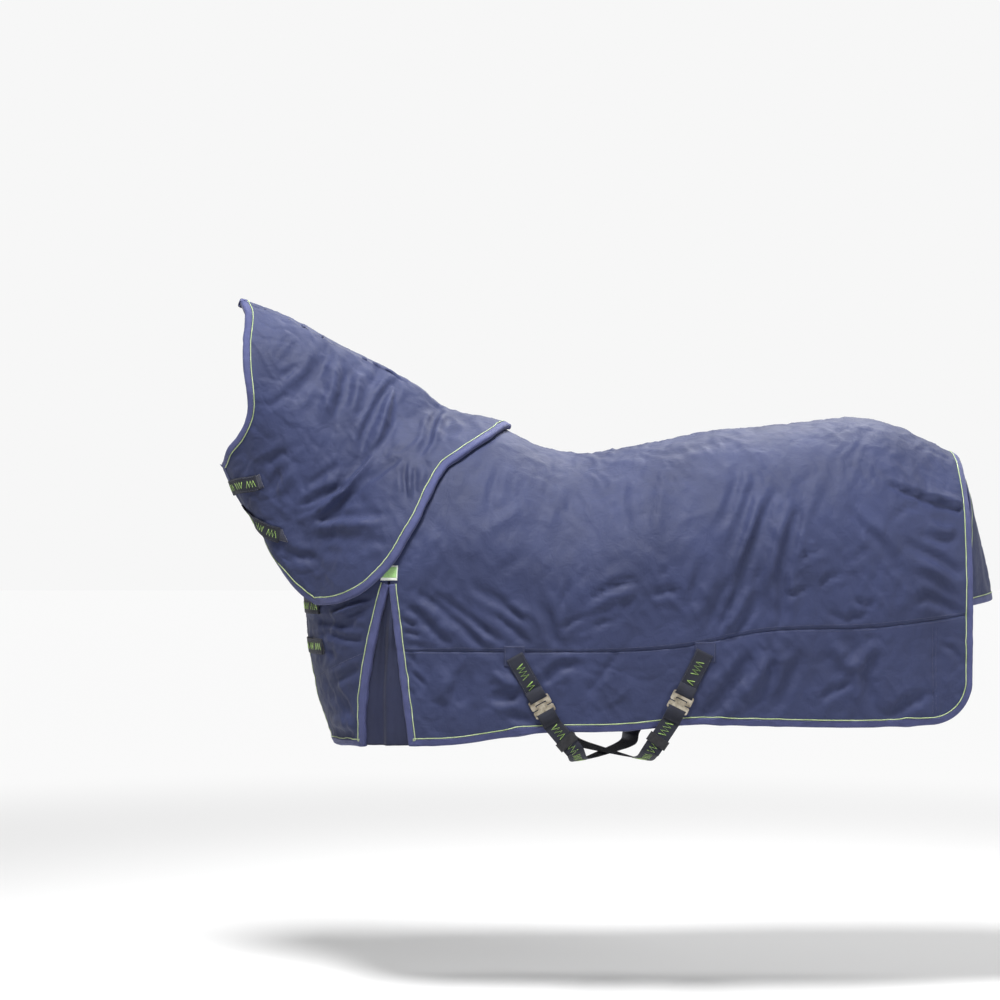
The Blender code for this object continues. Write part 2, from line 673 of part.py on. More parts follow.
def binding(name, edge, inner, outer, trees, material, closed_path=False, gap=BINDING_EDGE_GAP):
    """Tape folded over an edge. Trees holds what lies under its inner leg and under its outer leg."""
    path = stations(edge, closed_path)
    near, far = gap, gap + BINDING_WALL
    outs = spread(-BINDING_WIDTH, 0.0, 5)
    below = lifts(path, outs, inner[1], -1, trees[0], closed_path)
    above = lifts(path, outs, outer[0], 1, trees[1], closed_path)
    rings = []
    for station, down, up in zip(path, below, above):
        profile = [(-BINDING_WIDTH, outer[1] + up), (far, outer[1] + up), (far, inner[0] - down),
                   (-BINDING_WIDTH, inner[0] - down), (-BINDING_WIDTH, inner[1] - down),
                   (near, inner[1] - down), (near, outer[0] + up), (-BINDING_WIDTH, outer[0] + up)]
        rings.append([rim(station, out, height) for out, height in profile])
    spots = [out + height / 2 for out, height in profile]
    return swept(name, rings, spots, material, closed_path)


def piping(name, edge, shell_top, trees, material):
    """The reflective cord that lies on the shell along the inside of a binding."""
    out = -(BINDING_WIDTH + PIPING_GAP + PIPING_RADIUS)
    path = stations(edge)
    up = lifts(path, (out - PIPING_RADIUS, out, out + PIPING_RADIUS), shell_top + TOUCH_GAP, 1, trees, False)
    height = shell_top + TOUCH_GAP + PIPING_RADIUS
    curve = bpy.data.curves.new(name, "CURVE")
    curve.dimensions = "3D"
    curve.bevel_depth = PIPING_RADIUS
    curve.bevel_resolution = 0
    curve.use_fill_caps = True
    points = [rim(station, out, height + more) for station, more in zip(path, up)]
    line = curve.splines.new("POLY")
    line.points.add(len(points) - 1)
    for target, p in zip(line.points, points):
        target.co = (*p, 1)
    return add(name, curve, material)


def surfaces_of(objects):
    """The objects' evaluated surfaces, for casting rays at."""
    bpy.context.view_layer.update()
    graph = bpy.context.evaluated_depsgraph_get()
    trees = []
    for obj in objects:
        mesh = obj.evaluated_get(graph).to_mesh()
        points = [obj.matrix_world @ v.co for v in mesh.vertices]
        mesh.calc_loop_triangles()
        trees.append(BVHTree.FromPolygons(points, [tuple(t.vertices) for t in mesh.loop_triangles]))
        obj.evaluated_get(graph).to_mesh_clear()
    return trees


# ---------------------------------------------------------------- straps and hardware

def web(name, path, width, thick, material):
    """Webbing along a path of (centre, direction across it), mitred where it turns."""
    points = [p for p, _ in path]
    corners = ((-1, -1), (1, -1), (1, 1), (-1, 1))
    rings = []
    for i, (p, across) in enumerate(path):
        normals = []
        for a, b in ((i - 1, i), (i, i + 1)):
            if a >= 0 and b < len(points):
                normals.append(across.cross(points[b] - points[a]).normalized())
        mitre = normals[0]
        if len(normals) == 2:
            mitre = (normals[0] + normals[1]) / (1 + normals[0].dot(normals[1]))
        rings.append([p + across * s * width / 2 + mitre * h * thick / 2 for s, h in corners])
    return swept(name, rings, [s for s, _ in corners], material)


def flat_frame(name, width, height, thick, slots, matrix, material):
    """A flat plate with slots through it, as an outline with holes. Slots are (width, height, centre)."""
    curve = bpy.data.curves.new(name, "CURVE")
    curve.dimensions = "2D"
    curve.fill_mode = "BOTH"
    curve.extrude = thick / 2
    for w, h, centre, corner in [(width, height, 0.0, 2.5 * MM)] + [(*slot, 0.8 * MM) for slot in slots]:
        line = curve.splines.new("POLY")
        outline = rounded_box(w, h, corner, centre)
        line.points.add(len(outline) - 1)
        for target, (x, y) in zip(line.points, outline):
            target.co = (x, y, 0, 1)
        line.use_cyclic_u = True
    obj = add(name, curve, material)
    obj.matrix_world = matrix
    return obj


def rounded_box(width, height, corner, centre):
    """Corner points of a box with cut corners."""
    x, y = width / 2, height / 2
    points = [(x - corner, -y), (x, -y + corner), (x, y - corner), (x - corner, y),
              (-x + corner, y), (-x, y - corner), (-x, -y + corner), (-x + corner, -y)]
    return [(a, b + centre) for a, b in points]


def extruded(name, outline, width, matrix, material):
    """An outline of (along, out) pairs, extruded both ways across."""
    def build(bm):
        rings = [[matrix @ Vector((s * width / 2, y, z)) for y, z in outline] for s in (-1, 1)]
        first, last = loft_into(bm, rings, closed_ring=True)
        bm.faces.new(first)
        bm.faces.new(list(reversed(last)))
        bmesh.ops.recalc_face_normals(bm, faces=bm.faces)

    return add(name, mesh_of(name, build), material)


def frame_at(p, down, out):
    """A matrix whose Y runs down a strap and whose Z faces out from the horse."""
    across = down.cross(out).normalized()
    down = out.cross(across).normalized()
    matrix = Matrix((across, down, out)).transposed().to_4x4()
    matrix.translation = p
    return matrix


def hook_profile():
    """The tongue in (down, out): up the outside of the plate's bar, through its slot and down behind it."""
    bar_top = PLATE_HOOK_Y + HOOK_SLOT[1] / 2
    over = bar_top - HOOK_CLEARANCE
    front = PLATE_SIZE[2] / 2 + HOOK_CLEARANCE
    behind = -PLATE_SIZE[2] / 2 - HOOK_SWING_GAP
    tip, root = bar_top + 3.0 * MM, PLATE_SIZE[1] / 2 + 6 * MM
    return [(root, front + TONGUE_THICK), (over - TONGUE_THICK, front + TONGUE_THICK),
            (over - TONGUE_THICK, behind - TONGUE_THICK), (tip, behind - TONGUE_THICK), (tip, behind),
            (over, behind), (over, front), (root, front)]


def make_hook(name, matrix, material):
    """The hook: a slotted plate below the slot plate, with a tongue through the slot."""
    front = PLATE_SIZE[2] / 2 + HOOK_CLEARANCE
    centre = PLATE_SIZE[1] / 2 + HOOK_PLATE_GAP + HOOK_SIZE[1] / 2
    shift = Matrix.Translation((0, centre, front + TONGUE_THICK / 2))
    slot = (*WEB_SLOT, HOOK_SIZE[1] / 2 - HOOK_WEB_EDGE)
    plate = flat_frame(name + "_plate", *HOOK_SIZE, TONGUE_THICK, [slot], matrix @ shift, material)
    graph = bpy.context.evaluated_depsgraph_get()
    mesh = bpy.data.meshes.new_from_object(plate.evaluated_get(graph))
    mesh.name = name
    mesh.transform(matrix @ shift)
    bpy.data.objects.remove(plate)
    bm = bmesh.new()
    bm.from_mesh(mesh)
    bmesh.ops.remove_doubles(bm, verts=bm.verts, dist=1e-6)
    bm.to_mesh(mesh)
    bm.free()
    mesh.materials.clear()
    hook = add(name, mesh, material)
    tongue = extruded(name + "_tongue", hook_profile(), TONGUE_WIDTH, matrix, material)
    RUG.objects.unlink(tongue)
    CUTTERS.objects.link(tongue)
    tongue.hide_render = True
    tongue.display_type = "WIRE"
    join = hook.modifiers.new("tongue", "BOOLEAN")
    join.operation = "UNION"
    join.solver = "EXACT"
    join.object = tongue
    return hook


def hook_axis(matrix):
    """The line on which a hook turns: the upper edge of the plate's lower bar."""
    return matrix @ Vector((0, PLATE_HOOK_Y + HOOK_SLOT[1] / 2 + 1.0 * MM, 0))


def trunk_run(start, end, count, side, trees):
    """(centre, across) of webbing laid in a straight line over the rug between two (X, Z) points."""
    points, outs = [], []
    for t in spread(0.0, 1.0, count):
        p, n = on_trunk(mix(start[0], end[0], t), mix(start[1], end[1], t))
        points.append(lifted(p, n, SHELL_LAYER[1], side))
        outs.append(Vector((n.x, -side * n.y, n.z)))
    return with_across(lay(points, outs, trees, WEB_WIDTH, WEB_THICK), outs)


def set_origin(obj, point):
    """Moves an object's origin to a point, leaving its shape where it is."""
    if obj.matrix_world == Matrix.Identity(4):
        obj.data.transform(Matrix.Translation(-point))
        obj.matrix_world = Matrix.Translation(point)


def patch_on(name, centre, size, thick, trees, material, side=LEFT, cells=2):
    """A square of cloth on the shell, lowered until it just clears the facets below."""
    grid = []
    for i in range(cells + 1):
        x = centre[0] + size[0] * (i / cells - 0.5)
        grid.append([on_trunk(x, centre[1] + size[1] * (0.5 - j / cells)) for j in range(cells + 1)])
    low = SHELL_LAYER[1] + 1.2 * TOUCH_GAP - least_gap(trees, grid, SHELL_LAYER[1], side)
    return layer(name, grid, (low, low + thick), material, side)


def least_gap(trees, grid, height, side=LEFT, sign=1):
    """The smallest distance from a sheet at a height to the cloth below it, or above it if sign is -1."""
    gaps = [1.0]
    for left, right in zip(grid, grid[1:]):
        for j in range(len(left) - 1):
            for a in spread(0.0, 1.0, 6):
                for b in spread(0.0, 1.0, 6):
                    corners = ((left[j], (1 - a) * (1 - b)), (right[j], a * (1 - b)),
                               (left[j + 1], (1 - a) * b), (right[j + 1], a * b))
                    p = sum(((q + n * height) * w for (q, n), w in corners), Vector())
                    normal = sum((n * w for (_, n), w in corners), Vector()).normalized()
                    out = Vector((normal.x, -side * normal.y, normal.z)) * sign
                    gaps.append(depth_below(trees, lifted(p, normal, 0.0, side), out))
    return min(gaps)


def lay(points, outs, trees, width, thick):
    """Centres of webbing over the points, raised until it clears everything under it."""
    points = [p + out * (thick / 2 + TOUCH_GAP) for p, out in zip(points, outs)]
    for _ in range(5):
        acrosses = [across for _, across in with_across(points, outs)]
        up = [0.0] * len(points)
        for k in range(len(points) - 1):
            for a in spread(0.0, 1.0, 10):
                out = mix(outs[k], outs[k + 1], a).normalized()
                for s in spread(-0.5, 0.5, 10):
                    under = mix(points[k], points[k + 1], a) - out * thick / 2
                    under += mix(acrosses[k], acrosses[k + 1], a) * s * width
                    short = STRAP_GAP - depth_below(trees, under, out)
                    if short > 0:
                        up[k] = max(up[k], short if a < 0.8 else 0.0)
                        up[k + 1] = max(up[k + 1], short if a > 0.2 else 0.0)
        points = [p + out * more for p, out, more in zip(points, outs, up)]
    return points


# ---------------------------------------------------------------- the assembly

def make_rug(mats):
    """The rug's cloth, its edges and its gussets. Returns the objects that straps lie on."""
    back, side, chest = back_grid(), side_grid(), chest_grid()
    made = {}
    for name, heights, mat in (("outer_shell", SHELL_LAYER, "shell"), ("fill", FILL_LAYER, "fill"),
                               ("lining", LINING_LAYER, "lining")):
        made[name] = [layer(name + "_back", back, heights, mats[mat], mirror=True)]
        for hand, which in ((LEFT, "left"), (RIGHT, "right")):
            made[name].append(layer(f"{name}_side_{which}", side, heights, mats[mat], hand))
            made[name].append(layer(f"{name}_chest_{which}", chest, heights, mats[mat], hand))
    trees = surfaces_of(made["lining"]), surfaces_of(made["outer_shell"])
    rear, front = rug_rim(back, side), front_rim(chest, back)
    bindings = [binding("hem_binding", arch(rear), BINDING_INNER, BINDING_OUTER, trees, mats["binding"]),
                binding("front_binding", arch(front), BINDING_INNER, BINDING_OUTER, trees, mats["binding"])]
    top = len(front) - CHEST_COLUMNS - NECKLINE_COLUMNS - 1
    front_run = front[:top - 1]
    pipings = [piping(name, edge, SHELL_LAYER[1], trees[1], mats["piping"])
               for name, edge in (("hem_piping", arch(rear)), ("front_piping_left", front_run),
                                  ("front_piping_right", mirrored(front_run)))]
    for hand, which in ((LEFT, "left"), (RIGHT, "right")):
        grid = gusset_grid(rear, front)
        gap = least_gap(surfaces_of(bindings), grid, GUSSET_LAYER[1], hand, -1)
        shift = min(gap, 5 * MM) - 1.5 * TOUCH_GAP
        layer("shoulder_gusset_" + which, grid, (GUSSET_LAYER[0] + shift, GUSSET_LAYER[1] + shift),
              mats["gusset"], hand)
    return made["outer_shell"] + bindings + pipings


def gusset_grid(rear, front):
    """Columns across the gusset, from under the chest panel to under the side panel."""
    rows = ROWS_TO_SEAM + ROWS_TO_HEM + 1
    chest_side, tail_side = stations(front)[:rows], stations(rear)[:rows]

    def column(edge, out):
        made = []
        for station in edge:
            low, high = rim(station, out, 0.0), rim(station, out, 1.0 * MM)
            made.append((low, (high - low).normalized()))
        return made

    middle = []
    for a, b in zip(column(chest_side, 0.0), column(tail_side, 0.0)):
        p = (a[0] + b[0]) / 2
        turn = math.asin(min(1.0, max(0.0, (SHOULDER_X - p.x) / chest_reach(p.z))))
        middle.append(on_trunk(SHOULDER_X - turn * NOSE_ARC / (math.pi / 2), p.z))
    return [column(chest_side, -GUSSET_OVERLAP), column(chest_side, 0.0), middle,
            column(tail_side, 0.0), column(tail_side, -GUSSET_OVERLAP)]


def make_fastenings(mats, under):
    """What closes the chest, and the labels above the gussets."""
    trees = surfaces_of(under)
    for hand, which in ((LEFT, "left"), (RIGHT, "right")):
        patch_on("gusset_label_" + which, LABEL_CENTRE, LABEL_SIZE, 1.0 * MM, trees, mats["label"], hand)
    for z, which in zip(CHEST_STRAP_Z, ("upper", "lower")):
        loop = patch_on(f"chest_loop_patch_{which}", (-0.520, z), (60 * MM, STRAP_WIDTH), LOOP_THICK,
                        trees, mats["hook_loop"], LEFT, 4)
        chest_strap(f"chest_strap_{which}", z, trees + surfaces_of([loop]), mats["webbing"])


def chest_strap(name, z, trees, material):
    """From its stitched end on the right, over both front edges, to the loop patch on the left."""
    spots = [(rib, LEFT) for rib in spread(-0.487, CENTRE_FRONT, 10)]
    spots += [(rib, RIGHT) for rib in spread(CENTRE_FRONT, -0.525, 8)[1:]]
    points, outs = [], []
    for rib, side in spots:
        p, n = on_trunk(rib, z)
        points.append(lifted(p, n, SHELL_LAYER[1], side))
        outs.append(Vector((n.x, -side * n.y, n.z)))
    points = lay(points, outs, trees, STRAP_WIDTH, STRAP_THICK)
    strap = web(name, with_across(points, outs), STRAP_WIDTH, STRAP_THICK, material)
    set_origin(strap, points[-1])
    return strap


def with_across(points, outs):
    path = []
    for i, (p, out) in enumerate(zip(points, outs)):
        ahead = points[min(i + 1, len(points) - 1)] - points[max(i - 1, 0)]
        path.append((p, ahead.cross(out).normalized()))
    return path


def make_surcingle(name, spec, mats, under):
    """A left strap, slot plate, hook, belly strap and slider, with the patches that they are sewn to."""
    trees = surfaces_of(under)
    anchors = []
    for which, spot, side in (("left", spec["anchor"], LEFT), ("right", spec["far"], RIGHT)):
        owner = name if side == LEFT else {"front": "rear", "rear": "front"}[name]
        anchors.append(patch_on(f"{owner}_anchor_{which}", spot, (ANCHOR_SIZE, ANCHOR_SIZE), 1.2 * MM,
                                trees, mats["anchor"], side))
    trees += surfaces_of(anchors)
    (x0, z0), (x1, z1) = spec["anchor"], spec["plate"]
    p, out = on_trunk(x1, z1)
    above, _ = on_trunk(mix(x1, x0, 0.3), mix(z1, z0, 0.3))
    matrix = frame_at(lifted(p, out, HARDWARE_HEIGHT), (p - above).normalized(), out)
    flat_frame(name + "_slot_plate", *PLATE_SIZE, [(*WEB_SLOT, PLATE_WEB_Y), (*HOOK_SLOT, PLATE_HOOK_Y)],
               matrix, mats["metal"])
    hook = make_hook(name + "_hook", matrix, mats["metal"])
    set_origin(hook, hook_axis(matrix))
    across = matrix.to_3x3() @ Vector((1, 0, 0))
    flat = trunk_run(spec["anchor"], (mix(x0, x1, 0.72), mix(z0, z1, 0.72)), 4, LEFT, trees)
    front = PLATE_SIZE[2] / 2 + 2 * TOUCH_GAP + WEB_THICK / 2
    bend = [(-17 * MM, -front), (PLATE_WEB_Y, -front), (PLATE_WEB_Y, front), (-17 * MM, front),
            (-36 * MM, 2 * MM)]
    turned = [(matrix @ Vector((0, y, z)), across) for y, z in bend]
    web(name + "_strap_left", [(q, across) for q, _ in flat] + turned, WEB_WIDTH, WEB_THICK, mats["webbing"])
    belly_strap(name, spec, matrix, mats, trees)


def belly_strap(name, spec, matrix, mats, trees):
    """From a loop round the hook's lower bar, down past the hem, under the belly and up to the right."""
    middle = PLATE_SIZE[2] / 2 + HOOK_CLEARANCE + TONGUE_THICK / 2
    off = TONGUE_THICK / 2 + 2 * TOUCH_GAP + WEB_THICK / 2
    slot = PLATE_SIZE[1] / 2 + HOOK_PLATE_GAP + HOOK_SIZE[1] - HOOK_WEB_EDGE
    across = matrix.to_3x3() @ Vector((1, 0, 0))
    bend = [(slot + 34 * MM, middle - off + 4.4 * MM), (slot + 10 * MM, middle + off), (slot, middle + off),
            (slot, middle - off), (slot + 10 * MM, middle - off), (slot + 36 * MM, middle - off + 1.5 * MM)]
    turned = [matrix @ Vector((0, y, z)) for y, z in bend]
    x2, z2 = spec["slider"]
    cross_x, cross_z = BELLY_CROSSING
    cross_z -= spec["belly_drop"]
    reach = trunk(x2, level_of(x2, -0.78)).y - 22 * MM
    start, hang = turned[-1], Vector((x2, reach, z2))
    under = [(0.12, 0.84, 7 * MM), (0.35, 0.60, 1 * MM), (0.70, 0.28, 0.0), (1.0, 0.0, 0.0),
             (1.30, -0.28, 0.0), (1.65, -0.60, 1 * MM), (1.88, -0.84, 7 * MM)]
    points = turned + [mix(start, hang, 0.25), mix(start, hang, 0.95), hang]
    points += [Vector((mix(x2, cross_x, t), reach * y, cross_z + up)) for t, y, up in under]
    points.append(Vector((2 * cross_x - x2, -reach + 5 * MM, z2)))
    outs = []
    for i, p in enumerate(points):
        down = 0.0 if i < len(turned) + 3 else min(0.0, (p.z + 0.78) * 6)
        outs.append(Vector((0.0, p.y, down)).normalized())
    far = spec["far"]
    low = (mix(2 * cross_x - x2, far[0], 0.30), mix(z2, far[1], 0.30))
    climb = trunk_run(low, far, 7, RIGHT, trees)
    path = with_across(points + [climb[0][0]], outs + [Vector((0.0, 1.0, 0.0))])[:-1] + climb
    for i in range(len(turned)):
        path[i] = (path[i][0], across)
    web(name + "_belly_strap", path, WEB_WIDTH, WEB_THICK, mats["webbing"])
    slider_at(name, mix(start, hang, 0.64), (hang - start).normalized(), path[len(turned)][1], mats["slider"])


def slider_at(name, centre, down, across, material):
    """A flat ring round the strap."""
    out = across.cross(down).normalized()
    matrix = Matrix((across, -out, down)).transposed().to_4x4()
    matrix.translation = centre
    slot = (WEB_WIDTH + 2 * TOUCH_GAP + 1 * MM, WEB_THICK + 4 * TOUCH_GAP, 0.0)
    flat_frame(name + "_slider", *SLIDER_SIZE, [slot], matrix, material)


def make_neck_cover(mats, under):
    """The neck cover's cloth and edges. Returns its grid, and the objects that straps lie on."""
    neck = neck_grid(surfaces_of(under))
    shell = layer("neck_cover_shell", neck, NECK_SHELL, mats["shell"], mirror=True)
    layer("neck_cover_fill", neck, NECK_FILL, mats["fill"], mirror=True)
    lining = layer("neck_cover_lining", neck, NECK_LINING, mats["lining"], mirror=True)
    trees = surfaces_of([lining]), surfaces_of([shell])
    edge = neck_rim(neck)
    tape = binding("neck_edge_binding", edge + mirrored(edge)[1:-1], NECK_INNER, NECK_OUTER, trees,
                   mats["binding"], closed_path=True, gap=NECK_EDGE_GAP)
    front = [(vertex, [near]) for vertex, near in zip(neck[0][:-1], neck[1])][::-1]
    piping("neck_front_piping", arch(front), NECK_SHELL[1], trees[1], mats["piping"])
    base = [(neck[-1][j], [neck[-2][j]]) for j in range(NECK_ROWS - 1, -1, -1)]
    piping("neck_base_piping", arch(base), NECK_SHELL[1], trees[1], mats["piping"])
    return neck, lining, [shell, tape]


def throat_straps(mats, neck, under):
    """Straps from the right of the throat to loop patches on the left, with the patches."""
    trees = surfaces_of(under)
    last = NECK_ROWS
    for u, which in zip(THROAT_STRAP_U, ("upper", "lower")):
        grid = [[along_neck(neck, u + du, v, LEFT) for v in spread(last - 2.75, last - 1.2, 4)]
                for du in spread(-0.024, 0.024, 2)]
        low = NECK_SHELL[1] + 1.2 * TOUCH_GAP - least_gap(trees, grid, NECK_SHELL[1])
        patch = layer(f"throat_loop_patch_{which}", grid, (low, low + LOOP_THICK), mats["hook_loop"])
        left = [along_neck(neck, u, v, LEFT) for v in spread(last - 2.55, last - 0.06, 8)]
        right = [along_neck(neck, u, v, RIGHT) for v in spread(last - 0.06, last - 1.4, 5)]
        (edge, normal) = left[-1]
        middle = (Vector((edge.x, 0.0, edge.z)), Vector((normal.x, 0.0, normal.z)).normalized())
        spots = left + [middle] + right
        outs = [n if abs(p.y) > 3 * THROAT_OPENING else (n + middle[1] * 2).normalized() for p, n in spots]
        points = [p + n * NECK_SHELL[1] for p, n in spots]
        points = lay(points, outs, trees + surfaces_of([patch]), STRAP_WIDTH, STRAP_THICK)
        strap = web(f"throat_strap_{which}", with_across(points, outs), STRAP_WIDTH, STRAP_THICK,
                    mats["webbing"])
        set_origin(strap, points[-1])


def along_neck(neck, u, v, side):
    """(point, normal) on the neck grid's facets, u from 0 to 1 and v in rows."""
    i, j = min(int(u * NECK_COLUMNS), NECK_COLUMNS - 1), min(int(v), NECK_ROWS - 1)
    a, b = u * NECK_COLUMNS - i, v - j
    corners = [(neck[i][j], (1 - a) * (1 - b)), (neck[i + 1][j], a * (1 - b)),
               (neck[i][j + 1], (1 - a) * b), (neck[i + 1][j + 1], a * b)]
    p = sum((vertex[0] * weight for vertex, weight in corners), Vector())
    n = sum((vertex[1] * weight for vertex, weight in corners), Vector()).normalized()
    return Vector((p.x, -side * p.y, p.z)), Vector((n.x, -side * n.y, n.z))


def make_attachment(mats, under, lining):
    """The hook and loop patches that hold the neck cover to the withers."""
    grid = [[with_normal(trunk, x, level) for level in (0.0, 0.04, 0.08)] for x in spread(-0.085, -0.035, 3)]
    low = SHELL_LAYER[1] + 1.2 * TOUCH_GAP - least_gap(surfaces_of(under), grid, SHELL_LAYER[1])
    middle = low + LOOP_THICK
    layer("neck_loop_patch", grid, (low, middle), mats["hook_loop"], mirror=True)
    room = least_gap(surfaces_of([lining]), grid, middle, LEFT, -1)
    layer("neck_hook_patch", grid, (middle + TOUCH_GAP, middle + room - 1.2 * TOUCH_GAP), mats["hook_loop"],
          mirror=True)


def make_tail_flap(mats):
    flap = flap_grid()
    last = FLAP_ROWS
    made = [layer("tail_flap_shell", flap, FLAP_SHELL, mats["shell"]),
            layer("tail_flap_lining", flap, FLAP_LINING, mats["lining"])]
    trees = surfaces_of(made[1:]), surfaces_of(made[:1])
    edge = [(flap[0][j], [flap[1][j]]) for j in range(last)]
    edge.append((flap[0][last], [flap[1][last], flap[0][last - 1]]))
    edge += [(flap[i][last], [flap[i][last - 1]]) for i in range(1, FLAP_COLUMNS)]
    edge.append((flap[-1][last], [flap[-2][last], flap[-1][last - 1]]))
    edge += [(flap[-1][j], [flap[-2][j]]) for j in range(last - 1, -1, -1)]
    made.append(binding("tail_flap_binding", edge, FLAP_INNER, FLAP_OUTER, trees, mats["binding"]))
    made.append(piping("tail_flap_piping", edge, FLAP_SHELL[1], trees[1], mats["piping"]))
    for obj in made:
        set_origin(obj, Vector((FLAP_HINGE[0], 0.0, FLAP_HINGE[1])))


def main():
    mats = {
        "shell": make_material("shell_navy_polyester", (0.030, 0.038, 0.105), 0.55),
        "fill": make_material("fill_white_wadding", (0.75, 0.75, 0.73), 0.95),
        "lining": make_material("lining_navy_taffeta", (0.020, 0.025, 0.060), 0.5),
        "binding": make_material("binding_blue_tape", (0.075, 0.082, 0.230), 0.7),
        "piping": make_material("piping_silver_reflective", (0.45, 0.52, 0.42), 0.35),
        "gusset": make_material("gusset_dark_polyester", (0.016, 0.018, 0.045), 0.7),
        "label": make_material("label_green_white", (0.35, 0.62, 0.20), 0.6),
        "hook_loop": make_material("hook_and_loop_navy", (0.012, 0.014, 0.030), 0.95),
        "webbing": make_material("webbing_dark_navy", (0.012, 0.014, 0.032), 0.75),
        "anchor": make_material("anchor_patch_navy", (0.022, 0.026, 0.070), 0.75),
        "metal": make_material("hardware_antique_nickel", (0.42, 0.39, 0.33), 0.38, 1.0),
        "slider": make_material("slider_black_plastic", (0.012, 0.012, 0.014), 0.4),
    }
    under = make_rug(mats)
    make_fastenings(mats, under)
    for name, spec in SURCINGLES.items():
        make_surcingle(name, spec, mats, under)
    neck, lining, neck_outside = make_neck_cover(mats, under)
    throat_straps(mats, neck, neck_outside)
    make_attachment(mats, under, lining)
    make_tail_flap(mats)


clear_scene()
bpy.context.scene.unit_settings.scale_length = 1.0
RUG = bpy.data.collections.new("turnout_rug")
CUTTERS = bpy.data.collections.new("cutters")
bpy.context.scene.collection.children.link(RUG)
bpy.context.scene.collection.children.link(CUTTERS)
CUTTERS.hide_render = True
main()
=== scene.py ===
"""The looks of the turnout rug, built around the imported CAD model.

Metres, in the CAD's frame: tail towards +X, the horse's left side towards -Y, +Z up, and the origin on
the withers. Cloth pieces are fine grids on the same body and neck surfaces as the CAD, with the folds that
the hanging cloth shows pressed into them, and everything else is laid on the finished cloth.
"""

import json
import math

import bmesh
import bpy
import numpy as np
from mathutils import Matrix, Vector, noise
from mathutils.bvhtree import BVHTree
from mathutils.kdtree import KDTree

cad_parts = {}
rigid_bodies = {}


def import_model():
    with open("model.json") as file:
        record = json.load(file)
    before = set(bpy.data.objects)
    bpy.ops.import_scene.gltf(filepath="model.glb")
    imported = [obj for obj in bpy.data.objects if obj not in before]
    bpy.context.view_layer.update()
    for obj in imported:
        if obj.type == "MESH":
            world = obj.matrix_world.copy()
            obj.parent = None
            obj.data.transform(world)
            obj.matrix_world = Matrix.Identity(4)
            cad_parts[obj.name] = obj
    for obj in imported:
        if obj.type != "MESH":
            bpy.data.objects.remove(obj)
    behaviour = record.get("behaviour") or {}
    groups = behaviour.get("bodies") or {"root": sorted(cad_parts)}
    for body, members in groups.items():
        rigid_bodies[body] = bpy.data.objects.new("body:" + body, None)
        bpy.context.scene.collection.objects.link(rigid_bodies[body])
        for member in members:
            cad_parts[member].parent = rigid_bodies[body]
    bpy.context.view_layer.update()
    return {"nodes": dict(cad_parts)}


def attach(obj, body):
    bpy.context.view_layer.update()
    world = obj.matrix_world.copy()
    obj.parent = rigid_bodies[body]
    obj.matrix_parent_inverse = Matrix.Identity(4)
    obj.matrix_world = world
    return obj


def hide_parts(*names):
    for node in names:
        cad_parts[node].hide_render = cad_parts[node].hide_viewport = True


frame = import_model()
NODES = frame["nodes"]

LEFT, RIGHT = -1, 1
SIDES = ((LEFT, "left"), (RIGHT, "right"))
MM = 0.001

# ---------------------------------------------------------------- the horse's surface, as in the CAD
SHOULDER_X, TAIL_X, NOSE_ARC, HEM_DATUM_Z = -0.20, 1.178, 0.45, -0.80
CENTRE_FRONT = SHOULDER_X - NOSE_ARC
FRONT_EDGE = CENTRE_FRONT + 0.006
SPINE_Z = [(-0.20, 0.030), (-0.13, 0.024), (-0.06, 0.014), (0.0, 0.0), (0.078, -0.038), (0.138, -0.060),
           (0.208, -0.069), (0.294, -0.059), (0.465, -0.026), (0.569, -0.007), (0.724, 0.007),
           (0.85, 0.019), (0.949, 0.021), (1.001, 0.010), (1.069, -0.016), (1.178, -0.068)]
WIDEST = [(-0.20, 0.262), (0.1, 0.298), (0.4, 0.322), (0.7, 0.318), (0.95, 0.303), (1.18, 0.265)]
WIDEST_DEPTH = [(-0.20, 0.42), (0.1, 0.40), (0.4, 0.36), (0.7, 0.37), (0.95, 0.36), (1.18, 0.36)]
PEAKEDNESS = [(-0.20, 1.35), (0.1, 1.20), (0.4, 0.98), (0.95, 0.92), (1.18, 1.05)]
HEM_WIDTH = [(-0.20, 0.268), (0.1, 0.298), (0.4, 0.318), (0.7, 0.308), (0.95, 0.290), (1.18, 0.255)]
CHEST_REACH = [(-0.82, 0.215), (-0.75, 0.235), (-0.66, 0.262), (-0.56, 0.280), (-0.45, 0.292), (-0.38, 0.292),
               (-0.30, 0.268), (-0.20, 0.235), (-0.10, 0.200), (0.0, 0.165), (0.06, 0.140)]
NECKLINE_TOP = -0.13
NECKLINE_Z = [(-0.65, -0.390), (-0.55, -0.360), (-0.444, -0.274), (-0.333, -0.160), (-0.28, -0.112),
              (-0.20, -0.045), (-0.13, 0.024)]
SEAM_Z = [(-0.65, -0.552), (0.2, -0.554), (0.44, -0.542), (0.66, -0.502), (0.94, -0.492), (1.18, -0.462)]
HEM_Z = [(-0.65, -0.800), (-0.41, -0.795), (-0.22, -0.790), (-0.11, -0.785), (0.0, -0.768), (0.1, -0.754),
         (0.3, -0.748), (0.47, -0.732), (0.6, -0.734), (0.86, -0.740), (1.0, -0.738), (1.18, -0.730)]
REAR_CORNER = 0.10
APEX_Z, APEX_RIB, APEX_HALF = -0.388, -0.275, 2.5 * MM
GUSSET_FRONT, GUSSET_BACK = -0.392, -0.232
NECK_CREST = [(-0.674, 0.338), (-0.58, 0.303), (-0.49, 0.257), (-0.407, 0.213), (-0.328, 0.174),
              (-0.258, 0.136), (-0.20, 0.100), (-0.15, 0.058), (-0.10, 0.040), (-0.045, 0.026),
              (0.020, 0.006)]
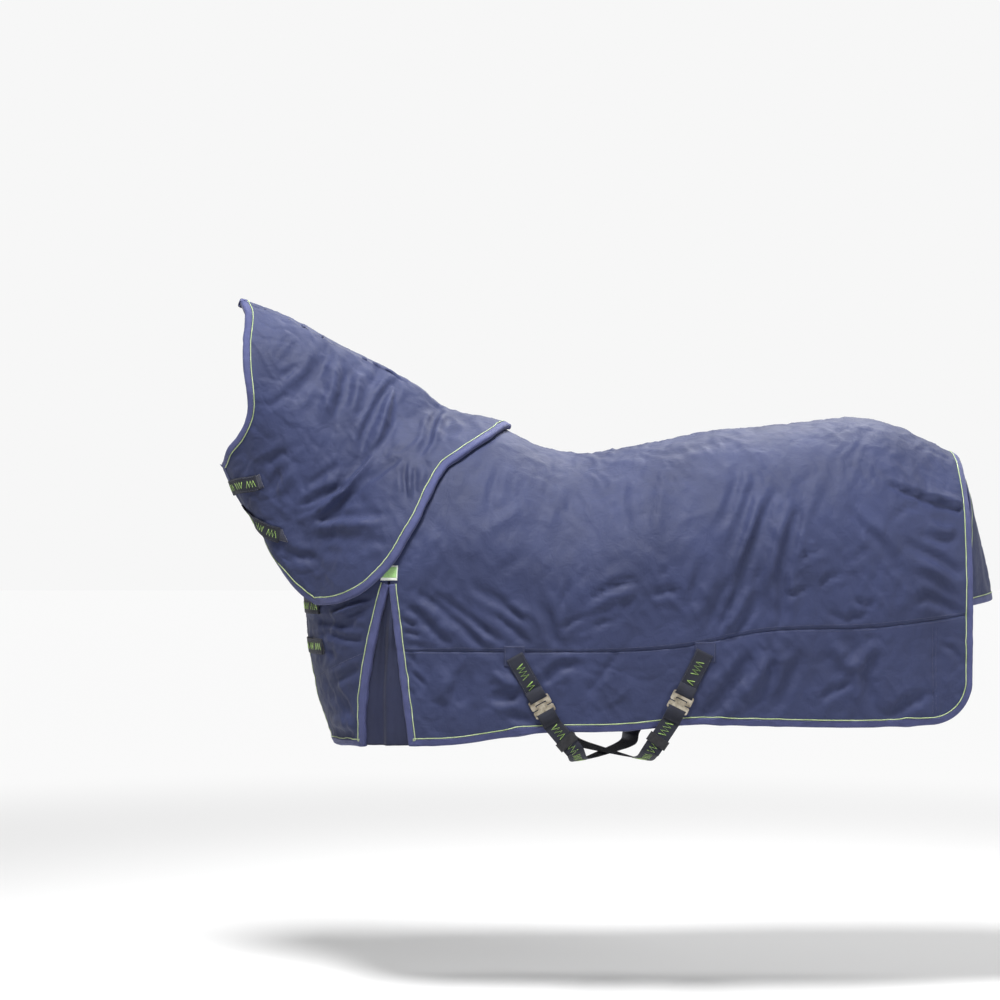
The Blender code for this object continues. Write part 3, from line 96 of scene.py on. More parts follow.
NECK_THROAT = [(-0.714, -0.088), (-0.697, -0.125), (-0.672, -0.170), (-0.630, -0.212), (-0.602, -0.252)]
NECK_FRONT = [(-0.674, 0.338), (-0.656, 0.30), (-0.657, 0.225), (-0.653, 0.159), (-0.642, 0.094),
              (-0.640, 0.061), (-0.648, 0.024), (-0.672, -0.017), (-0.698, -0.045), (-0.714, -0.088)]
NECK_BASE = [(0.020, 0.006), (-0.025, -0.031), (-0.066, -0.058), (-0.105, -0.085), (-0.134, -0.105),
             (-0.164, -0.152), (-0.195, -0.216), (-0.227, -0.272), (-0.259, -0.329), (-0.293, -0.368),
             (-0.335, -0.405), (-0.388, -0.432), (-0.431, -0.439), (-0.481, -0.431), (-0.515, -0.405),
             (-0.554, -0.356), (-0.583, -0.306), (-0.602, -0.252)]
NECK_HALF_WIDTH = [(0.0, 0.110), (0.3, 0.128), (0.6, 0.152), (0.8, 0.175), (1.0, 0.190)]
NECK_FULLNESS = 0.75
THROAT_OPENING = 8 * MM
FLAP_PROFILE = [(1.1825, -0.076), (1.207, -0.141), (1.226, -0.219), (1.244, -0.296), (1.268, -0.413),
                (1.272, -0.432)]
FLAP_HALF_WIDTH = [(0.0, 0.125), (0.5, 0.165), (1.0, 0.185)]
FLAP_WRAP, FLAP_ARCH_TOP, FLAP_ARCH_BOTTOM = 0.105, 0.046, 0.014

# Heights above the horse's skin, and the sizes of tape, cord and webbing.
SHELL_TOP, LINING_TOP = 12.6 * MM, 4.6 * MM
NECK_CLEAR = 19.5 * MM
CLOTH = 1.0 * MM
TAPE_THICK = 1.0 * MM
CORD_RADIUS = 1.25 * MM
WEB_WIDTH, WEB_THICK = 45 * MM, 2.0 * MM
STRAP_WIDTH, STRAP_THICK = 40 * MM, 2.2 * MM
FOLD_GAIN = 1.6
LINING_THICK, LINING_SHARE = 0.7 * MM, 0.22
NECK_SHELL_TOP, NECK_LINING_TOP = 10.2 * MM, 2.4 * MM
CORD_INSET, CORD_SIDES = 16.2 * MM, 7
TAPE_STITCH_INSET = 12.2 * MM
WEB_GAP = 0.3 * MM
PATCH_CELLS = 16
EMBROIDERY_SIDES = 5
REAR_SEAM_X = 1.081

# The stage. Brightness and grey run from 0 to 1, and lengths are in metres.
FLOOR_Z, FLOOR_REACH, FLOOR_GREY = -1.42, 30, 0.62
GLOW_REACH, WALL_BRIGHT, CEILING_BRIGHT = (1.8, 5.5), 0.93, 0.10
CAMERA_AWAY, CAMERA_Z, VIEW_WIDTH, SENSOR = 7, -0.177, 2.6, 36

# Folds, as (height in mm, breadth in mm, X, Z, X, Z, ...) in side view. A negative height is a valley.
BODY_FOLDS = [
    (-7, 11, -0.219, -0.399, -0.164, -0.433, -0.095, -0.491, -0.045, -0.541, -0.005, -0.563),
    (-6, 10, -0.189, -0.391, -0.124, -0.436, -0.045, -0.496, 0.025, -0.546),
    (-5, 10, -0.251, -0.433, -0.204, -0.461, -0.154, -0.516, -0.110, -0.550),
    (-6, 12, -0.085, -0.381, -0.025, -0.416, 0.020, -0.441, 0.070, -0.481),
    (5, 10, 0.005, -0.426, 0.040, -0.446, 0.075, -0.468),
    (-7, 12, 0.090, -0.421, 0.120, -0.466, 0.134, -0.516, 0.147, -0.555),
    (-4, 10, -0.025, -0.451, 0.025, -0.491, 0.080, -0.541),
    (-3, 6, -0.244, -0.476, -0.229, -0.482, -0.209, -0.491),
    (-3, 6, -0.244, -0.507, -0.224, -0.509, -0.199, -0.518),
    (-4, 7, -0.244, -0.541, -0.204, -0.540, -0.174, -0.550),
    (-4, 7, -0.237, -0.565, -0.219, -0.570, -0.212, -0.588),
    (-3, 6, -0.229, -0.645, -0.214, -0.665),
    (-3, 6, -0.224, -0.605, -0.204, -0.620, -0.179, -0.645),
    (-6, 22, -0.085, -0.595, -0.095, -0.635, -0.107, -0.695),
    (5, 24, -0.129, -0.605, -0.139, -0.650, -0.144, -0.695),
    (-7, 14, -0.030, -0.673, 0.015, -0.668, 0.060, -0.659),
    (-5, 14, 0.015, -0.710, 0.050, -0.720, 0.095, -0.725),
    (4, 16, -0.030, -0.605, 0.015, -0.625, 0.050, -0.645),
    (-8, 12, 0.104, -0.646, 0.124, -0.617, 0.149, -0.592, 0.191, -0.577),
    (4, 14, 0.149, -0.567, 0.216, -0.563),
    (-10, 12, 0.757, -0.170, 0.732, -0.239, 0.718, -0.301, 0.699, -0.360, 0.702, -0.418, 0.697, -0.484,
     0.679, -0.526),
    (8, 14, 0.714, -0.202, 0.689, -0.268, 0.668, -0.343, 0.652, -0.418),
    (-8, 11, 0.691, -0.149, 0.647, -0.243, 0.614, -0.326, 0.596, -0.372, 0.579, -0.422),
    (6, 13, 0.652, -0.177, 0.623, -0.252, 0.589, -0.326, 0.564, -0.393),
    (-5, 11, 0.639, -0.123, 0.606, -0.210, 0.564, -0.301),
    (-5, 10, 0.579, -0.351, 0.541, -0.434, 0.505, -0.517),
    (-5, 10, 0.608, -0.368, 0.564, -0.451, 0.531, -0.521),
    (-5, 11, 0.508, -0.318, 0.486, -0.380, 0.473, -0.426),
    (-5, 11, 0.647, -0.418, 0.589, -0.501, 0.548, -0.538),
    (5, 12, 0.631, -0.376, 0.589, -0.451, 0.548, -0.517),
    (4, 12, 0.540, -0.343, 0.510, -0.418, 0.481, -0.484),
    (-4, 14, 0.606, -0.086, 0.581, -0.169, 0.556, -0.252),
    (3, 16, 0.797, -0.119, 0.780, -0.169, 0.768, -0.227),
    (-8, 16, 0.624, -0.552, 0.589, -0.617, 0.540, -0.683, 0.486, -0.725),
    (6, 18, 0.676, -0.550, 0.639, -0.617, 0.598, -0.683),
    (-6, 15, 0.749, -0.552, 0.701, -0.658, 0.672, -0.717),
    (-5, 12, 0.662, -0.526, 0.674, -0.584, 0.668, -0.642),
    (6, 18, 0.822, -0.526, 0.855, -0.575, 0.880, -0.609),
    (6, 18, 0.946, -0.526, 0.905, -0.567, 0.884, -0.609),
    (-6, 16, 0.936, -0.526, 0.911, -0.609, 0.925, -0.700),
    (-6, 15, 0.953, -0.725, 1.013, -0.683, 1.071, -0.658),
    (-4, 10, 0.880, -0.625, 0.830, -0.650, 0.780, -0.675),
    (-3, 8, 1.096, -0.534, 1.129, -0.550, 1.150, -0.584),
    (-4, 8, 0.714, -0.347, 0.764, -0.311, 0.818, -0.293),
    (-4, 8, 0.787, -0.394, 0.822, -0.365, 0.859, -0.360),
    (-4, 8, 0.705, -0.419, 0.739, -0.403, 0.764, -0.397),
    (-5, 10, 0.805, -0.451, 0.855, -0.477, 0.930, -0.451),
    (-4, 9, 0.872, -0.418, 0.896, -0.438, 0.938, -0.430),
    (-6, 11, 0.988, -0.281, 1.062, -0.310, 1.154, -0.368),
    (-4, 10, 1.025, -0.262, 1.087, -0.281, 1.145, -0.275),
    (6, 14, 1.004, -0.326, 1.079, -0.351, 1.150, -0.405),
    (-7, 12, 1.021, -0.451, 1.054, -0.418, 1.096, -0.434, 1.164, -0.472),
    (-4, 9, 0.971, -0.227, 1.013, -0.202, 1.062, -0.194),
    (4, 14, 0.930, -0.227, 0.971, -0.277, 0.996, -0.318),
    (-4, 12, 0.863, -0.194, 0.896, -0.243, 0.946, -0.293),
    (-3, 9, 0.838, -0.343, 0.888, -0.318, 0.930, -0.285),
    (5, 12, 1.062, -0.235, 1.104, -0.260, 1.145, -0.252),
    (-6, 9, 0.212, -0.438, 0.237, -0.416, 0.266, -0.397, 0.307, -0.383, 0.350, -0.375),
    (4, 12, 0.232, -0.451, 0.274, -0.422, 0.349, -0.401),
    (-4, 8, 0.149, -0.451, 0.162, -0.418, 0.176, -0.383),
    (-4, 7, 0.199, -0.385, 0.222, -0.350),
    (-3, 7, 0.390, -0.370, 0.411, -0.353, 0.436, -0.341),
    (-3, 8, 0.149, -0.502, 0.178, -0.480, 0.212, -0.466),
    (-3, 8, 0.231, -0.494, 0.257, -0.481, 0.290, -0.474),
    (-4, 10, 0.365, -0.418, 0.415, -0.401, 0.448, -0.405),
    (-3, 9, 0.299, -0.550, 0.266, -0.592, 0.231, -0.646),
    (-3, 12, 0.000, -0.086, -0.021, -0.152, -0.029, -0.227),
    (-3, 12, 0.066, -0.301, 0.025, -0.343, -0.025, -0.376),
    (3, 14, -0.050, -0.268, 0.017, -0.227, 0.058, -0.194),
    (-2.5, 9, 0.365, -0.052, 0.432, -0.040, 0.498, -0.023),
    (-2.5, 9, 0.415, -0.077, 0.498, -0.057, 0.564, -0.032),
    (-3, 16, 0.315, -0.119, 0.307, -0.202, 0.324, -0.268),
    (3, 18, 0.415, -0.119, 0.398, -0.202, 0.390, -0.285),
    (3, 18, 0.149, -0.135, 0.133, -0.218, 0.108, -0.285),
    (-4, 9, -0.426, -0.461, -0.373, -0.433, -0.314, -0.421),
    (-5, 8, -0.408, -0.482, -0.364, -0.461, -0.324, -0.442),
    (-4, 8, -0.398, -0.498, -0.359, -0.476, -0.326, -0.462),
    (4, 10, -0.418, -0.471, -0.369, -0.447, -0.319, -0.432),
    (-5, 14, -0.471, -0.476, -0.423, -0.488, -0.334, -0.498),
    (-5, 10, -0.468, -0.523, -0.428, -0.513, -0.378, -0.526, -0.329, -0.531),
    (-5, 12, -0.431, -0.645, -0.383, -0.620, -0.338, -0.590),
    (-3, 8, -0.428, -0.550, -0.416, -0.568, -0.408, -0.585),
    (-5, 10, -0.421, -0.756, -0.393, -0.767, -0.351, -0.767),
    (5, 18, -0.418, -0.725, -0.383, -0.740, -0.349, -0.735),
    (-4, 18, -0.448, -0.605, -0.423, -0.655, -0.408, -0.695),
]
NECK_FOLDS = [
    (-10, 10, -0.257, 0.134, -0.286, 0.113, -0.312, 0.068, -0.337, 0.014, -0.351, -0.024, -0.357, -0.059),
    (9, 13, -0.287, 0.097, -0.298, 0.027, -0.312, -0.024, -0.344, -0.081),
    (-5, 7, -0.266, 0.124, -0.273, 0.084, -0.279, 0.062),
    (-9, 9, -0.163, 0.054, -0.177, 0.002, -0.185, -0.037, -0.212, -0.075),
    (5, 11, -0.143, 0.040, -0.159, -0.005, -0.163, -0.049),
    (-7, 8, -0.237, -0.067, -0.268, -0.088, -0.312, -0.121, -0.338, -0.132),
    (-6, 7, -0.237, -0.081, -0.239, -0.132, -0.233, -0.180),
    (-5, 7, -0.217, -0.088, -0.218, -0.139, -0.214, -0.183),
    (-4, 7, -0.198, -0.081, -0.180, -0.100, -0.177, -0.142),
    (-4, 7, -0.239, -0.049, -0.258, -0.059, -0.271, -0.062),
    (5, 8, -0.226, -0.100, -0.224, -0.151, -0.223, -0.183),
    (10, 13, -0.287, -0.040, -0.332, -0.095, -0.383, -0.146, -0.453, -0.197, -0.510, -0.225),
    (-8, 9, -0.510, -0.195, -0.440, -0.159, -0.379, -0.139),
    (-6, 9, -0.516, -0.218, -0.472, -0.202, -0.408, -0.151, -0.370, -0.132),
    (-6, 10, -0.475, -0.223, -0.421, -0.220, -0.370, -0.218, -0.268, -0.215),
    (7, 16, -0.485, -0.247, -0.370, -0.247, -0.281, -0.234),
    (-5, 22, -0.440, -0.195, -0.370, -0.180, -0.306, -0.196),
    (-5, 13, -0.542, -0.308, -0.504, -0.322, -0.459, -0.329),
    (-4, 11, -0.351, -0.299, -0.316, -0.281, -0.273, -0.287),
    (-3, 12, -0.446, -0.308, -0.408, -0.314, -0.383, -0.312),
    (-5, 18, -0.456, 0.237, -0.453, 0.180, -0.472, 0.148, -0.513, 0.104, -0.545, 0.059),
    (6, 18, -0.427, 0.209, -0.432, 0.148, -0.435, 0.091, -0.465, 0.002),
    (-5, 14, -0.395, 0.167, -0.402, 0.091, -0.427, 0.027),
    (-4, 12, -0.322, 0.174, -0.319, 0.139, -0.337, 0.104),
    (5, 14, -0.363, 0.155, -0.370, 0.084, -0.383, 0.014),
    (-5, 12, -0.539, -0.049, -0.574, -0.070, -0.596, -0.089),
    (-4, 12, -0.560, -0.100, -0.574, -0.132, -0.583, -0.158),
    (4, 14, -0.523, -0.088, -0.542, -0.132, -0.561, -0.171),
    (-4, 10, -0.516, 0.167, -0.548, 0.142, -0.567, 0.132),
    (-3, 9, -0.599, 0.053, -0.561, 0.078, -0.536, 0.104),
    (-4, 10, -0.395, -0.081, -0.446, -0.113, -0.497, -0.145),
    (-4, 8, -0.395, -0.113, -0.408, -0.132, -0.421, -0.151),
    (-3, 10, -0.153, 0.014, -0.115, 0.027, -0.064, 0.021),
    (3, 12, -0.166, -0.100, -0.191, -0.126, -0.204, -0.151),
    (-5, 14, -0.567, -0.266, -0.542, -0.317, -0.523, -0.349),
]
TUCK = (0.966, -0.138, 1.06, -0.176, 1.158, -0.203)


def smooth(points):
    """A function of an array whose smooth curve passes through the points."""
    points = sorted(points)
    xs = np.array([p[0] for p in points])
    ys = np.array([p[1] for p in points])
    before = np.maximum(np.arange(len(xs)) - 1, 0)
    after = np.minimum(np.arange(len(xs)) + 1, len(xs) - 1)
    slopes = (ys[after] - ys[before]) / (xs[after] - xs[before])

    def value(x):
        x = np.asarray(x, float)
        i = np.clip(np.searchsorted(xs, x, "right") - 1, 0, len(xs) - 2)
        span = xs[i + 1] - xs[i]
        t = (x - xs[i]) / span
        c = np.clip(t, 0, 1)
        c2, c3 = c * c, c * c * c
        y = (ys[i] * (2 * c3 - 3 * c2 + 1) + ys[i + 1] * (3 * c2 - 2 * c3)
             + span * (slopes[i] * (c3 - 2 * c2 + c) + slopes[i + 1] * (c3 - c2)))
        return y + (t - c) * span * np.where(t < 0, slopes[0], slopes[-1])

    return value


def spline(points):
    """A function of 0 to 1 along the smooth curve through the points."""
    points = np.array(points, float)
    along = np.concatenate([[0], np.cumsum(np.linalg.norm(np.diff(points, axis=0), axis=1))])
    axes = [smooth(list(zip(along / along[-1], points[:, k]))) for k in range(points.shape[1])]
    return lambda t: np.stack([axis(t) for axis in axes], -1)


def mix(a, b, t):
    return a + (b - a) * t


def ease(t):
    t = np.clip(t, 0, 1)
    return t * t * (3 - 2 * t)


spine_z, widest, widest_depth = smooth(SPINE_Z), smooth(WIDEST), smooth(WIDEST_DEPTH)
peakedness, hem_width, chest_reach = smooth(PEAKEDNESS), smooth(HEM_WIDTH), smooth(CHEST_REACH)
neckline_z, seam_z, straight_hem_z = smooth(NECKLINE_Z), smooth(SEAM_Z), smooth(HEM_Z)


def hem_z(rib):
    into = np.clip((rib - (TAIL_X - REAR_CORNER)) / REAR_CORNER, 0, 1)
    return straight_hem_z(rib) + REAR_CORNER * (1 - np.sqrt(1 - into * into))


def trunk(rib, level):
    """Points on the left of the trunk. Level 0 is the spine, 1 the widest line and 2 the hem's datum."""
    rib, level = np.broadcast_arrays(np.asarray(rib, float), np.asarray(level, float))
    x = np.maximum(rib, SHOULDER_X)
    side, level = np.where(level >= 0, -1.0, 1.0), np.abs(level)
    top, wide = spine_z(x), widest(x)
    middle = top - widest_depth(x)
    angle = np.clip(level, 0, 1) * math.pi / 2
    low = np.maximum(level - 1, 0)
    z = np.where(level <= 1, mix(middle, top, np.cos(angle)), mix(middle, HEM_DATUM_Z, low))
    half = np.where(level <= 1, wide * np.sin(angle) ** peakedness(x), mix(wide, hem_width(x), low ** 2))
    turn = np.maximum(0, SHOULDER_X - rib) / NOSE_ARC * math.pi / 2
    return np.stack([x - chest_reach(z) * np.sin(turn), side * half * np.cos(turn), z], -1)


def level_of(rib, z):
    """The level at which a rib passes the height z."""
    x = np.maximum(rib, SHOULDER_X)
    top = spine_z(x)
    middle = top - widest_depth(x)
    above = np.arccos(np.clip((z - middle) / (top - middle), -1, 1)) / (math.pi / 2)
    return np.where(z >= middle, above, 1 + (middle - z) / (middle - HEM_DATUM_Z))


def unit(v):
    return v / np.maximum(np.linalg.norm(v, axis=-1, keepdims=True), 1e-12)


def trunk_normal(rib, level):
    step = 4e-3
    along = trunk(rib + step, level) - trunk(rib - step, level)
    down = trunk(rib, level + step) - trunk(rib, level - step)
    return unit(np.cross(down, along))


def on_trunk(rib, z, side=LEFT, height=SHELL_TOP):
    """(point, normal) at a rib and a height above the ground, as Vectors."""
    level = level_of(rib, z)
    n = trunk_normal(rib, level)
    p = trunk(rib, level) + n * height
    flip = np.array([1, -side, 1])
    return Vector(p * flip), Vector(n * flip)


def grid_normals(p):
    """Outward normals of a grid of points whose rows run from front to tail and whose columns run down."""
    along = np.gradient(p, axis=0)
    down = np.gradient(p, axis=1)
    return unit(np.cross(down, along))


# ---------------------------------------------------------------- folds

def line_distance(x, z, line):
    """Signed distance to a line of (x, z) points, and how far along it the nearest point is, from 0 to 1."""
    pts = np.array(line).reshape(-1, 2)
    lengths = np.linalg.norm(np.diff(pts, axis=0), axis=1)
    starts = np.concatenate([[0], np.cumsum(lengths)])
    best, signed, along = np.full(x.shape, 1e9), np.zeros(x.shape), np.zeros(x.shape)
    for k, (a, b) in enumerate(zip(pts, pts[1:])):
        d = (b - a) / lengths[k]
        t = np.clip((x - a[0]) * d[0] + (z - a[1]) * d[1], 0, lengths[k])
        dx, dz = x - a[0] - t * d[0], z - a[1] - t * d[1]
        far = np.hypot(dx, dz)
        near = far < best
        best = np.where(near, far, best)
        signed = np.where(near, np.sign(d[0] * dz - d[1] * dx) * far, signed)
        along = np.where(near, (starts[k] + t) / starts[-1], along)
    return signed, along


def pressed(x, z, folds):
    """The height that the folds give to points in side view."""
    total = np.zeros(x.shape)
    for height, breadth, *line in folds:
        xs, zs = line[::2], line[1::2]
        reach = 4.5 * breadth * MM
        near = (x > min(xs) - reach) & (x < max(xs) + reach) & (z > min(zs) - reach) & (z < max(zs) + reach)
        if not near.any():
            continue
        d, t = line_distance(x[near], z[near], line)
        breadth = breadth * MM
        taper = ease(t / 0.3) * ease((1 - t) / 0.3) * 0.85 + 0.15 * np.exp(-(d / breadth) ** 2)
        shoulder = np.exp(-((np.abs(d) - 1.9 * breadth) / (1.1 * breadth)) ** 2)
        across = np.exp(-(d / breadth) ** 2) - 0.42 * shoulder
        total[near] += height * MM * across * taper
    return FOLD_GAIN * total


def noise_at(p, scale, seed):
    """Smooth noise from -1 to 1 at each point. Scale is the size of its lumps on each axis."""
    q = p / np.array(scale) + seed
    return np.array([noise.noise(Vector(v)) for v in q.reshape(-1, 3)]).reshape(p.shape[:-1])


def crumple(p, size, seed):
    """Fine valleys in a random net, from 0 to 1."""
    warp = noise_at(p, (size * 1.7,) * 3, seed + 9)[..., None] * size * 0.5
    return np.exp(-(noise_at(p + warp, (size,) * 3, seed) / 0.10) ** 2)


def rumple(p, seed):
    """The small unevenness of padded cloth, in metres."""
    wide = noise_at(p, (0.20, 0.20, 0.15), seed) * 3.6
    middle = noise_at(p, (0.075, 0.075, 0.055), seed + 5) * 1.7
    slant = noise_at(p @ SLANT.T, (0.028, 0.05, 0.13), seed + 11) * 1.1
    crisp = sum(np.maximum(0, 1 - 2.2 * np.abs(noise_at(p @ turn.T, (0.034, 0.06, 0.12), seed + 17 + k))) ** 2
                * ease(0.5 + 1.6 * noise_at(p, (0.16, 0.16, 0.16), seed + 23 + k))
                for k, turn in enumerate((SLANT, COUNTER_SLANT))) * 3.4
    net = 1.7 * crumple(p, 0.060, seed + 3)
    return (wide + middle + slant + crisp - 0.9 - net - 0.9 * crumple(p, 0.030, seed + 4)) * MM


SLANT = np.array(Matrix.Rotation(math.radians(-32), 3, "Y"))
COUNTER_SLANT = np.array(Matrix.Rotation(math.radians(38), 3, "Y"))


def distance_to(points, line):
    """The distance of each point of a grid from the nearest point of a line."""
    tree = KDTree(len(line))
    for i, p in enumerate(line):
        tree.insert(p, i)
    tree.balance()
    flat = [tree.find(p)[2] for p in points.reshape(-1, 3)]
    return np.array(flat).reshape(points.shape[:-1])


# ---------------------------------------------------------------- materials

def new_material(name, colour, rough, metal=0.0, sheen=0.0):
    m = bpy.data.materials.new(name)
    m.use_nodes = True
    shader = m.node_tree.nodes["Principled BSDF"]
    shader.inputs["Base Color"].default_value = (*colour, 1)
    shader.inputs["Roughness"].default_value = rough
    shader.inputs["Metallic"].default_value = metal
    shader.inputs["Sheen Weight"].default_value = sheen
    shader.inputs["Specular IOR Level"].default_value = 0.5 if metal else 0.32
    return m, m.node_tree, shader


def node(tree, kind, **values):
    made = tree.nodes.new(kind)
    for key, value in values.items():
        if key in made.inputs:
            made.inputs[key].default_value = value
        else:
            setattr(made, key, value)
    return made


def places(tree, scale):
    coords = node(tree, "ShaderNodeTexCoord")
    mapping = node(tree, "ShaderNodeMapping", Scale=scale)
    tree.links.new(coords.outputs["Object"], mapping.inputs["Vector"])
    return mapping.outputs["Vector"]


def ranged(tree, value, source, target, kind="LINEAR"):
    """A value taken from one range to another."""
    made = node(tree, "ShaderNodeMapRange")
    made.interpolation_type = kind
    for key, number in zip(("From Min", "From Max", "To Min", "To Max"), (*source, *target)):
        made.inputs[key].default_value = number
    tree.links.new(value, made.inputs["Value"])
    return made.outputs["Result"]


def varied(tree, shader, at, scale, dark, light, spread=(0.3, 0.7)):
    """Colour that wanders between two shades."""
    lumps = node(tree, "ShaderNodeTexNoise", Scale=scale, Detail=4.0, Roughness=0.55)
    ramp = node(tree, "ShaderNodeValToRGB")
    ramp.color_ramp.elements[0].position, ramp.color_ramp.elements[1].position = spread
    ramp.color_ramp.elements[0].color = (*dark, 1)
    ramp.color_ramp.elements[1].color = (*light, 1)
    tree.links.new(at, lumps.inputs["Vector"])
    tree.links.new(lumps.outputs["Fac"], ramp.inputs["Fac"])
    tree.links.new(ramp.outputs["Color"], shader.inputs["Base Color"])
    return lumps


def bumped(tree, shader, heights):
    """Adds bump maps one after another: (output, strength, distance)."""
    last = None
    for output, strength, distance in heights:
        bump = node(tree, "ShaderNodeBump", Strength=strength, Distance=distance)
        tree.links.new(output, bump.inputs["Height"])
        if last is not None:
            tree.links.new(last.outputs["Normal"], bump.inputs["Normal"])
        last = bump
    tree.links.new(last.outputs["Normal"], shader.inputs["Normal"])


def threads(tree, at, scale):
    """Two crossed sets of threads, as one height."""
    rows = [node(tree, "ShaderNodeTexWave", wave_type="BANDS", bands_direction=axis, Scale=scale,
                 Distortion=0.6,
                 Detail=1.0) for axis in ("X", "Z")]
    both = node(tree, "ShaderNodeMath", operation="MAXIMUM")
    for k, row in enumerate(rows):
        tree.links.new(at, row.inputs["Vector"])
        tree.links.new(row.outputs["Fac"], both.inputs[k])
    return both.outputs[0]


def cloth_material(name, dark, light, rough, sheen, weave=420.0, crease=0.5):
    m, tree, shader = new_material(name, light, rough, sheen=sheen)
    at = places(tree, (1, 1, 1))
    varied(tree, shader, at, 7.0, dark, light)
    creases = node(tree, "ShaderNodeTexNoise", Scale=26.0, Detail=5.0, Roughness=0.6, Distortion=0.6)
    tree.links.new(at, creases.inputs["Vector"])
    fine = node(tree, "ShaderNodeTexNoise", Scale=95.0, Detail=3.0, Roughness=0.6)
    tree.links.new(at, fine.inputs["Vector"])
    worn = ranged(tree, creases.outputs["Fac"], (0.0, 1.0), (rough - 0.07, rough + 0.08))
    tree.links.new(worn, shader.inputs["Roughness"])
    bumped(tree, shader, [(creases.outputs["Fac"], crease, 0.004),
                          (fine.outputs["Fac"], crease * 0.6, 0.0012),
                          (threads(tree, at, weave), 0.35, 0.0002)])
    return m


def ribbed_material(name, dark, light, rough, ribs, sheen=0.2):
    """Tape and webbing, whose ribs cross the strip. It reads the strip's own map, in metres."""
    m, tree, shader = new_material(name, light, rough, sheen=sheen)
    uv = node(tree, "ShaderNodeUVMap", uv_map="strip")
    wave = node(tree, "ShaderNodeTexWave", wave_type="BANDS", bands_direction="X", Scale=ribs, Distortion=0.3)
    cross = node(tree, "ShaderNodeTexWave", wave_type="BANDS", bands_direction="Y", Scale=ribs * 0.6)
    for texture in (wave, cross):
        tree.links.new(uv.outputs["UV"], texture.inputs["Vector"])
    varied(tree, shader, places(tree, (1, 1, 1)), 30.0, dark, light)
    bumped(tree, shader, [(wave.outputs["Fac"], 0.6, 0.0005), (cross.outputs["Fac"], 0.3, 0.0003)])
    return m


def metal_material(name, dark, light, rough):
    m, tree, shader = new_material(name, light, rough, metal=1.0)
    at = places(tree, (1, 1, 1))
    varied(tree, shader, at, 60.0, dark, light, spread=(0.35, 0.62))
    scratches = node(tree, "ShaderNodeTexNoise", Scale=300.0, Detail=4.0)
    tree.links.new(at, scratches.inputs["Vector"])
    bumped(tree, shader, [(scratches.outputs["Fac"], 0.25, 0.0003)])
    return m


def fuzzy_material(name, dark, light):
    m, tree, shader = new_material(name, light, 0.95, sheen=0.4)
    at = places(tree, (1, 1, 1))
    varied(tree, shader, at, 500.0, dark, light)
    loops = node(tree, "ShaderNodeTexVoronoi", Scale=900.0)
    tree.links.new(at, loops.inputs["Vector"])
    bumped(tree, shader, [(loops.outputs["Distance"], 0.8, 0.0008)])
    return m


SHELL = cloth_material("shell_polyester", (0.0145, 0.0205, 0.061), (0.0208, 0.0288, 0.083), 0.66, 0.05,
                       crease=0.65)
LINING = cloth_material("lining_taffeta", (0.016, 0.019, 0.050), (0.024, 0.028, 0.068), 0.42, 0.1, 520.0, 0.7)
GUSSET = cloth_material("gusset_polyester", (0.010, 0.013, 0.036), (0.016, 0.020, 0.054), 0.72, 0.04)
ANCHOR = cloth_material("anchor_cloth", (0.015, 0.020, 0.056), (0.021, 0.028, 0.076), 0.66, 0.05, 420.0, 0.2)
TAPE = ribbed_material("binding_tape", (0.036, 0.043, 0.120), (0.052, 0.060, 0.158), 0.68, 190.0, 0.12)
WEB = ribbed_material("webbing_weave", (0.006, 0.007, 0.014), (0.011, 0.013, 0.026), 0.70, 150.0, 0.06)
CORD = ribbed_material("piping_reflective", (0.27, 0.36, 0.16), (0.46, 0.55, 0.32), 0.36, 300.0, 0.05)
LIME = fuzzy_material("embroidery_lime", (0.30, 0.52, 0.08), (0.45, 0.70, 0.16))
THREAD = fuzzy_material("thread_navy", (0.016, 0.021, 0.058), (0.032, 0.040, 0.105))
LOOP = fuzzy_material("hook_and_loop", (0.010, 0.012, 0.026), (0.018, 0.020, 0.042))
LABEL = fuzzy_material("label_green", (0.24, 0.44, 0.15), (0.34, 0.56, 0.24))
LABEL_EDGE = fuzzy_material("label_white", (0.62, 0.66, 0.60), (0.78, 0.80, 0.74))
NICKEL = metal_material("antique_nickel", (0.20, 0.17, 0.125), (0.52, 0.47, 0.38), 0.34)
BLACK, black_tree, black_shader = new_material("slider_plastic", (0.012, 0.012, 0.014), 0.42)
varied(black_tree, black_shader, places(black_tree, (1, 1, 1)), 120.0, (0.009, 0.009, 0.011),
       (0.02, 0.02, 0.023))
grain = node(black_tree, "ShaderNodeTexNoise", Scale=900.0, Detail=2.0)
bumped(black_tree, black_shader, [(grain.outputs["Fac"], 0.3, 0.0002)])


# ---------------------------------------------------------------- making pieces

def piece(name, verts, faces, material, body, replaces=()):
    mesh = bpy.data.meshes.new(name)
    mesh.from_pydata([tuple(v) for v in verts], [], faces)
    mesh.validate()
    mesh.materials.append(material)
    mesh.polygons.foreach_set("use_smooth", [True] * len(mesh.polygons))
    obj = bpy.data.objects.new(name, mesh)
    bpy.context.scene.collection.objects.link(obj)
    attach(obj, body)
    if replaces:
        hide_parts(*replaces)
    return obj


def grid_faces(rows, columns, wrap=False, flip=False):
    """Quads over rows x columns points, closing each row on itself if wrap is set."""
    faces = []
    for i in range(rows - 1):
        for j in range(columns if wrap else columns - 1):
            k = (j + 1) % columns
            quad = (i * columns + j, i * columns + k, (i + 1) * columns + k, (i + 1) * columns + j)
            faces.append(quad[::-1] if flip else quad)
    return faces


def thickened(obj, thick):
    """Gives a surface its thickness for good."""
    solid = obj.modifiers.new("thickness", "SOLIDIFY")
    solid.thickness, solid.offset, solid.use_even_offset = thick, -1.0, False
    return apply_modifiers(obj)


